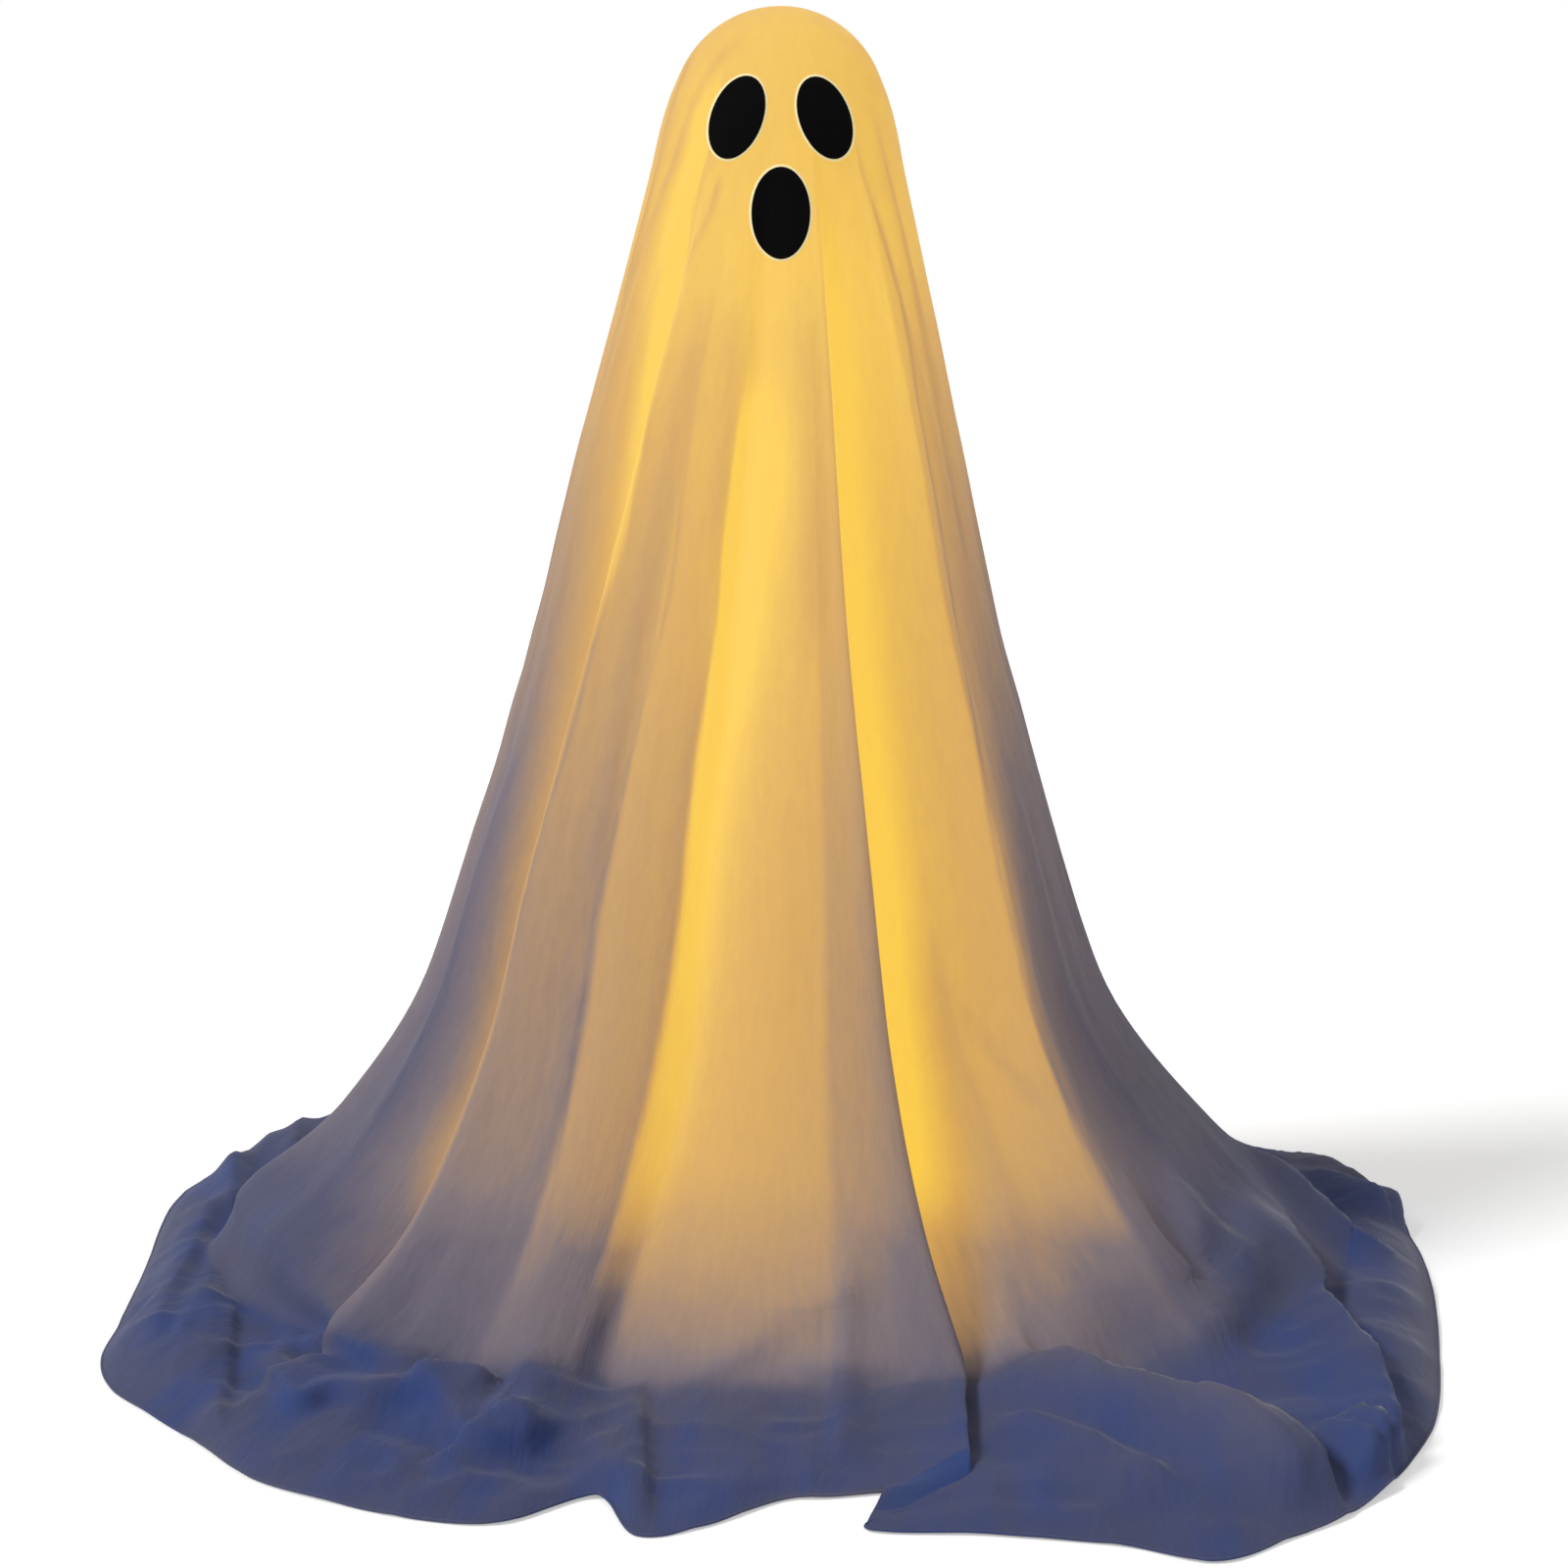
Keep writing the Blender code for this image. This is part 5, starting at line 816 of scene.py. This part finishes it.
# What reaches past a rounded square about the skirt is drawn in, by 3% at the most
ROOM_SHARE = 1.03
DRAWN_IN_SHARE = 0.97
EDGE_SHARE = 0.998
outermost = ((plan / (SKIRT_HALF_WIDTH, SKIRT_HALF_DEPTH) / ROOM_SHARE) ** 4).sum(2) ** 0.25
cloth[..., :2] *= (EDGE_SHARE / outermost).clip(DRAWN_IN_SHARE, 1)[..., None]
# How far the floor folds pushed each place down, as a share of the hollow depth, with raised lips below
# zero: it sets the painted warm light in the hollows further down.
hollows = ((level - cloth[..., 2]) / HOLLOW_DEPTH).clip(-HIGHEST_LIP, 1.0) * on_floor

rows, count = cloth.shape[:2]
cloth_points = np.vstack((cloth.reshape(-1, 3), [[0.0, 0.0, FIGURE_HEIGHT]]))
cloth_faces = grid_faces(rows, count)
cloth_faces += [(rows * count, i, (i + 1) % count) for i in range(count)]

# Glow: the light of a line of lamps up the pole, painted on each place of the cloth as emission, worked out
# from its distance and the way it faces. It is dimmed where the cloth is doubled and where a fold shades it.
# The sides are painted dimmer than the front and back, the head's front glows a little more than its sides,
# and the hollows of the floor folds get a little painted warm light.
LAMPS_LOW, LAMPS_HIGH = 0.19, 0.895
HANGING_ABOVE = 0.15
NEAR_FLOOR_ABOVE = 0.08
NEAR_FLOOR_SHARE = 0.62
UPWARD_SHARE = 0.2
HALF_BRIGHT = 1.8
BRIGHT_POWER = 1.3
HEAD_FROM_SHARE = 0.74
HEAD_OVER_SHARE = 0.16
HEAD_GLOW, HEAD_FRONT_GLOW, CROWN_GLOW = 0.85, 0.08, 0.88
HOLLOW_GLOW = 0.10
HOLLOWS_FROM_SHARE = 0.3
HOLLOWS_OVER_SHARE = 0.5
# How much of the layers' dimming shows, by height, and the light at the cloth's edges against its front:
# painted shade that makes the sides dimmer than the front and back
LAYER_FADE_SHARES = [(0.0, 0.45), (0.05, 0.85), (0.10, 1.0), (0.36, 1.0), (0.50, 0.70), (0.62, 0.48),
                     (0.75, 0.26), (0.90, 0.0), (1.0, 0.0)]
EDGE_LIGHT_SHARES = [(0.0, 0.75), (0.36, 0.72), (0.50, 0.62), (0.62, 0.66), (0.72, 0.80), (0.85, 0.92),
                     (1.0, 0.95)]
cloth_z = cloth[..., 2]
upward = facing_way(cloth)[..., 2].clip(0)
reach = np.hypot(cloth[..., 0], cloth[..., 1]) + POLE_ROOM
below_top, above_end = cloth_z - LAMPS_HIGH, cloth_z - LAMPS_LOW
to_top, to_end = np.hypot(reach, below_top), np.hypot(reach, above_end)
hanging = np.maximum(smooth_step(cloth_z / HANGING_ABOVE),
                     NEAR_FLOOR_SHARE * smooth_step(cloth_z / NEAR_FLOOR_ABOVE))
light = (np.maximum(outward, hanging) / reach * (above_end / to_end - below_top / to_top)
         + UPWARD_SHARE * upward * np.abs(1 / to_end - 1 / to_top)).clip(0)
height_share = cloth_z / FIGURE_HEIGHT
layers = 1 + (light_share[None] - 1) * through(LAYER_FADE_SHARES, height_share)
# Painted shade: the sides of the figure, away from the front and back, get less glow.
edge = through(EDGE_LIGHT_SHARES, height_share)
front = np.abs(cloth[..., 1]) / reach
glow_value = 1 - np.exp(-(light / HALF_BRIGHT) ** BRIGHT_POWER)
glow_value = glow_value * layers * (edge + (1 - edge) * front ** 0.5)
in_head = smooth_step((height_share - HEAD_FROM_SHARE) / HEAD_OVER_SHARE)
glow_value = glow_value * (1 - in_head) + (HEAD_GLOW + HEAD_FRONT_GLOW * front) * in_head
# Painted light in the floor hollows near the foot: a little more glow in the hollows, a little less on the
# raised lips.
near_foot = 1 - smooth_step((hem_share - HOLLOWS_FROM_SHARE) / HOLLOWS_OVER_SHARE)
glow_value = (glow_value * (1 - kept_back) + HOLLOW_GLOW * hollows * near_foot).clip(0, 1)

# Cotton voile with the lamps behind it: the glow runs from slate in the shade through mauve and tan to
# bright amber. The base colour is painted light and shade as well: slate blue where the glow is low, warm
# grey-tan where it is high, and in wide patches the shaded cloth gets painted blue light. Slubs break it up.
# The threads are too fine to draw, so ripples of 15 mm in the warp and the weft stand for the weave.
RIPPLE_MM = 15.08
SLUB_MM = 22
PATCH_MM = 170
# A wave texture repeats each 2 pi / 20 of its unit
WAVE_UNIT = 2 * math.pi / 20
voile, tree, shader = start_material("lit_cotton_voile", Roughness=0.9, Emission_Strength=1.0,
                                     Specular_IOR_Level=0.2, Sheen_Weight=0.15, Sheen_Roughness=0.4)
glow_read = add_node(tree, "Attribute", attribute_name="glow").outputs["Fac"]
flat = add_node(tree, "UVMap", uv_map="flat_cloth").outputs["UV"]
slub = add_node(tree, "TexNoise", {"Vector": flat, "Scale": per_metre(SLUB_MM), "Detail": 5.0,
                                   "Distortion": 0.4})
uneven = add_node(tree, "MapRange", {"Value": slub.outputs["Fac"], "From Min": 0.3, "From Max": 0.7,
                                     "To Min": -0.014, "To Max": 0.014})
glow_read = add_node(tree, "Math", {0: glow_read, 1: uneven.outputs["Result"]},
                     operation="ADD").outputs["Value"]
glow = add_node(tree, "ValToRGB", {"Fac": glow_read},
                stops=[(0.0, "#000000"), (0.2, "#1F1912"), (0.4, "#584638"), (0.6, "#A47B4B"),
                       (0.8, "#CE9D4A"), (1.0, "#F2C440")])
# Painted light and shade in the base colour: slate blue at low glow, warm grey-tan at high glow.
lit_and_shaded_colour = add_node(tree, "ValToRGB", {"Fac": glow_read},
                stops=[(0.0, "#39446E"), (0.2, "#50536E"), (0.4, "#686674"), (0.6, "#70665A"),
                       (0.8, "#6C604E"), (1.0, "#685E50")])
# Painted blue light on the shaded cloth, in wide random patches.
patches = add_node(tree, "TexNoise", {"Vector": flat, "Scale": per_metre(PATCH_MM), "Detail": 2.0})
painted_blue_light = add_node(tree, "MapRange", {"Value": patches.outputs["Fac"], "From Min": 0.42,
                                    "From Max": 0.62, "To Max": 0.7})
in_shade = add_node(tree, "MapRange", {"Value": glow_read, "From Max": 0.22, "To Min": 1.0,
                                       "To Max": 0.0})
painted_blue_share = add_node(tree, "Math", {0: painted_blue_light.outputs["Result"], 1: in_shade.outputs["Result"]},
                      operation="MULTIPLY")
painted_base_colour = add_node(tree, "Mix", {0: painted_blue_share.outputs["Value"], 6: lit_and_shaded_colour.outputs["Color"],
                                 7: linear("#2B4684")}, data_type="RGBA")
warp, weft = [add_node(tree, "TexWave", {"Vector": flat, "Scale": per_metre(RIPPLE_MM) * WAVE_UNIT,
                                         "Distortion": 1.5, "Detail": 2.0}, bands_direction=way)
              for way in "XY"]
weave = add_node(tree, "Math", {0: warp.outputs["Fac"], 1: weft.outputs["Fac"]}, operation="ADD")
threads = add_node(tree, "Bump", {"Height": weave.outputs["Value"], "Strength": 0.12,
                                  "Distance": 0.0003})
rumple = add_node(tree, "Bump", {"Height": slub.outputs["Fac"], "Strength": 0.35, "Distance": 0.0025,
                                 "Normal": threads.outputs["Normal"]})
tree.links.new(glow.outputs["Color"], shader.inputs["Emission Color"])
tree.links.new(painted_base_colour.outputs[2], shader.inputs["Base Color"])
tree.links.new(rumple.outputs["Normal"], shader.inputs["Normal"])
drape = shown_mesh("voile_drape", cloth_points, cloth_faces, voile, "shroud", ["cloth_shroud"])


def record_on(piece, values, flat_places):
    """Write the glow of each point as an attribute, and its place on the flat cloth as a UV map."""
    attribute = piece.data.attributes.new("glow", "FLOAT", "POINT")
    attribute.data.foreach_set("value", np.asarray(values, np.float32))
    corners = np.empty(len(piece.data.loops), np.int32)
    piece.data.loops.foreach_get("vertex_index", corners)
    layer = piece.data.uv_layers.new(name="flat_cloth")
    layer.data.foreach_set("uv", flat_places[corners].astype(np.float32).ravel())


crown = np.broadcast_to((0.0, 0.0, FIGURE_HEIGHT), cloth[:1].shape)
from_crown = np.cumsum(np.linalg.norm(np.diff(cloth, axis=0, prepend=crown), axis=2), axis=0)
turn = 2 * math.pi * columns / len(COLUMN_AZIMUTHS) - math.pi / 2
flat_places = np.stack((from_crown * np.sin(turn), -from_crown * np.cos(turn)), -1).reshape(-1, 2)
record_on(drape, np.r_[glow_value.ravel(), CROWN_GLOW], np.vstack((flat_places, [[0.0, 0.0]])))

# The hem: the voile's edge rolled over twice and stitched, a thin cord all round the skirt.
HEM_RADIUS = 0.0010
HEM_SIDES = 6
ahead = np.roll(cloth[-1], -1, 0) - np.roll(cloth[-1], 1, 0)
ahead /= np.linalg.norm(ahead, axis=1)[:, None]
beside = np.cross(ahead, (0, 0, 1.0))
beside /= np.linalg.norm(beside, axis=1)[:, None]
above = np.cross(beside, ahead)
hem_rings = cloth[-1] + HEM_RADIUS * unit_rings(beside, above, HEM_SIDES).swapaxes(0, 1)
hem_faces = grid_faces(HEM_SIDES, count)
hem_faces += [((HEM_SIDES - 1) * count + i, i, (i + 1) % count, (HEM_SIDES - 1) * count + (i + 1) % count)
              for i in range(count)]
rolled_hem = shown_mesh("rolled_hem", hem_rings, hem_faces, voile, "shroud")
record_on(rolled_hem, np.tile(glow_value[-1], HEM_SIDES), np.tile(flat_places[-count:], (HEM_SIDES, 1)))

# The eyes and mouth: ovals of black needle felt, each glued on a slightly larger oval of cream
# felt that shows as a thin rim. They are glued flat on the voile of the head.
RIM_WIDTH = 0.0017
FELT_THICKNESS = 0.0009
FELT_RINGS = 14
FELT_SIDES = 96
FELT_HEIGHT_OFF_CLOTH = 0.0005
# Centre (x, z), half width, half height, in metres, and lean towards the centre line, in degrees
FELT_OVALS = {
    "left_eye": (-0.0312, 0.8788, 0.0185, 0.0304, 20),
    "right_eye": (0.0312, 0.8785, 0.0182, 0.0301, -20),
    "mouth": (0.0, 0.8112, 0.0207, 0.0322, 0),
}
# Both felts have a fibre of 0.9 mm. The cream felt is also given a painted warm glow, though it is no lamp.
black_felt = mottled("black_needle_felt", 0.9, (0.3, 0.75), ("#020202", "#0C0B0B"), detail=5.0,
                     bump=(0.5, 0.0003), Roughness=1.0, Specular_IOR_Level=0.08)
glowing_cream_felt = mottled("cream_needle_felt", 0.9, (0.3, 0.75), ("#CDBE93", "#DCCFA8"),
                     glow=("#A89A6A", "#B5A777"), detail=5.0, Roughness=1.0, Specular_IOR_Level=0.1,
                     Emission_Strength=1.0)


def felt_oval(name, oval, grow, lift, material, replaces):
    """A flat oval in front of the head, pressed back onto the cloth, then given its thickness.

    Points lie on rings whose radii are shares of the two half axes, turned by the lean.
    """
    x, z, half_width, half_height, lean = oval
    ring = np.linspace(0, 1, FELT_RINGS + 1)[1:, None]
    turn = np.linspace(0, 2 * math.pi, FELT_SIDES, endpoint=False)
    aside, upward = ring * (half_width + grow) * np.sin(turn), ring * (half_height + grow) * np.cos(turn)
    cosine, sine = math.cos(math.radians(lean)), math.sin(math.radians(lean))
    points = np.stack((x + aside * cosine + upward * sine, -HEAD_RADIUS * 2 + 0 * aside,
                       z - aside * sine + upward * cosine), -1).reshape(-1, 3)
    points = np.vstack((points, [[x, -HEAD_RADIUS * 2, z]]))
    centre = len(points) - 1
    faces = grid_faces(FELT_RINGS, FELT_SIDES)
    faces += [(centre, i, (i + 1) % FELT_SIDES) for i in range(FELT_SIDES)]
    piece = shown_mesh(name, points, faces, material, "shroud", replaces)
    press = piece.modifiers.new("pressed_on_cloth", "SHRINKWRAP")
    press.target = drape
    press.wrap_method = "PROJECT"
    press.use_project_y = True
    press.use_positive_direction = True
    press.use_negative_direction = False
    shaped = bpy.data.meshes.new_from_object(piece.evaluated_get(bpy.context.evaluated_depsgraph_get()))
    piece.modifiers.clear()
    places = np.empty(len(shaped.vertices) * 3)
    shaped.vertices.foreach_get("co", places)
    places = places.reshape(-1, 3) - (0, lift, 0)
    piece.data.vertices.foreach_set("co", places.ravel())
    piece.data.update()
    bpy.data.meshes.remove(shaped)
    thicken = piece.modifiers.new("felt_thickness", "SOLIDIFY")
    thicken.thickness = FELT_THICKNESS
    thicken.offset = 1


for name, oval in FELT_OVALS.items():
    felt_oval(f"{name}_rim", oval, RIM_WIDTH, FELT_HEIGHT_OFF_CLOTH, glowing_cream_felt,
              [f"{name}_backing"])
    felt_oval(f"{name}_felt", oval, 0.0, FELT_HEIGHT_OFF_CLOTH + FELT_THICKNESS, black_felt,
              [name])

# The floor and the light: a white studio sweep under an even sky, with a broad soft sun from the
# upper left. The camera sees the lit floor as white, and the figure keeps its shadow on it.
FLOOR_REACH = 60.0
floor_white, tree, shader = start_material("floor_white", Roughness=0.95)
shader.inputs["Specular IOR Level"].default_value = 0.0
shader.inputs["Base Color"].default_value = linear("#F0F0F0")
shader.inputs["Emission Color"].default_value = (1.0, 1.0, 1.0, 1.0)


def seen_directly(tree):
    """1 for rays from the camera, mirrors and glass, and 0 for the rays that light the object."""
    rays = add_node(tree, "LightPath")
    seen = add_node(tree, "Math", {0: rays.outputs["Is Camera Ray"], 1: rays.outputs["Is Glossy Ray"]},
                    operation="MAXIMUM")
    return add_node(tree, "Math", {0: seen.outputs["Value"], 1: rays.outputs["Is Transmission Ray"]},
                    operation="MAXIMUM").outputs["Value"]


FLOOR_LIFT = 0.42
lift = add_node(tree, "Math", {0: seen_directly(tree), 1: FLOOR_LIFT}, operation="MULTIPLY")
tree.links.new(lift.outputs["Value"], shader.inputs["Emission Strength"])
bpy.ops.mesh.primitive_plane_add(size=FLOOR_REACH)
floor = bpy.context.object
floor.name = "studio_floor"
floor.data.materials.append(floor_white)

world = bpy.data.worlds.new("studio_sky")
bpy.context.scene.world = world
world.use_nodes = True
tree = world.node_tree
background = tree.nodes["Background"]
SKY_LEVEL = 0.25
level = add_node(tree, "MapRange", {"Value": seen_directly(tree), "To Min": SKY_LEVEL, "To Max": 1.0})
background.inputs["Color"].default_value = (1.0, 1.0, 1.0, 1.0)
tree.links.new(level.outputs["Result"], background.inputs["Strength"])

# The sun stands high on the left in front; a fill from the right is weaker and wider.


def soft_sun(name, azimuth, elevation, width, strength):
    """A distant lamp at an azimuth from the front towards +X and an elevation, in degrees."""
    data = bpy.data.lights.new(name, "SUN")
    data.angle = math.radians(width)
    data.energy = strength
    lamp = bpy.data.objects.new(name, data)
    bpy.context.scene.collection.objects.link(lamp)
    lamp.rotation_euler = (math.radians(90 - elevation), 0.0, math.radians(azimuth))


soft_sun("key_sun", -62, 42, 16, 2.0)
soft_sun("fill_sun", 50, 40, 60, 0.38)

# The camera stands 2.1 m in front of the pole, 0.69 m up, and looks 8 degrees down.
PHOTO_WIDTH_PX = 1600
FOCAL_LENGTH_PX = 2883
SENSOR_MM = 36.0
CAMERA_PLACE = (0.0022, -2.123, 0.690)
CAMERA_PITCH = math.radians(8.0)
camera_data = bpy.data.cameras.new("photo_camera")
camera_data.sensor_width = SENSOR_MM
camera_data.lens = FOCAL_LENGTH_PX / PHOTO_WIDTH_PX * SENSOR_MM
camera = bpy.data.objects.new("photo_camera", camera_data)
camera.location = CAMERA_PLACE
camera.rotation_euler = (math.pi / 2 - CAMERA_PITCH, 0.0, 0.0)
bpy.context.scene.collection.objects.link(camera)
bpy.context.scene.camera = camera
bpy.context.scene.view_settings.view_transform = "Standard"
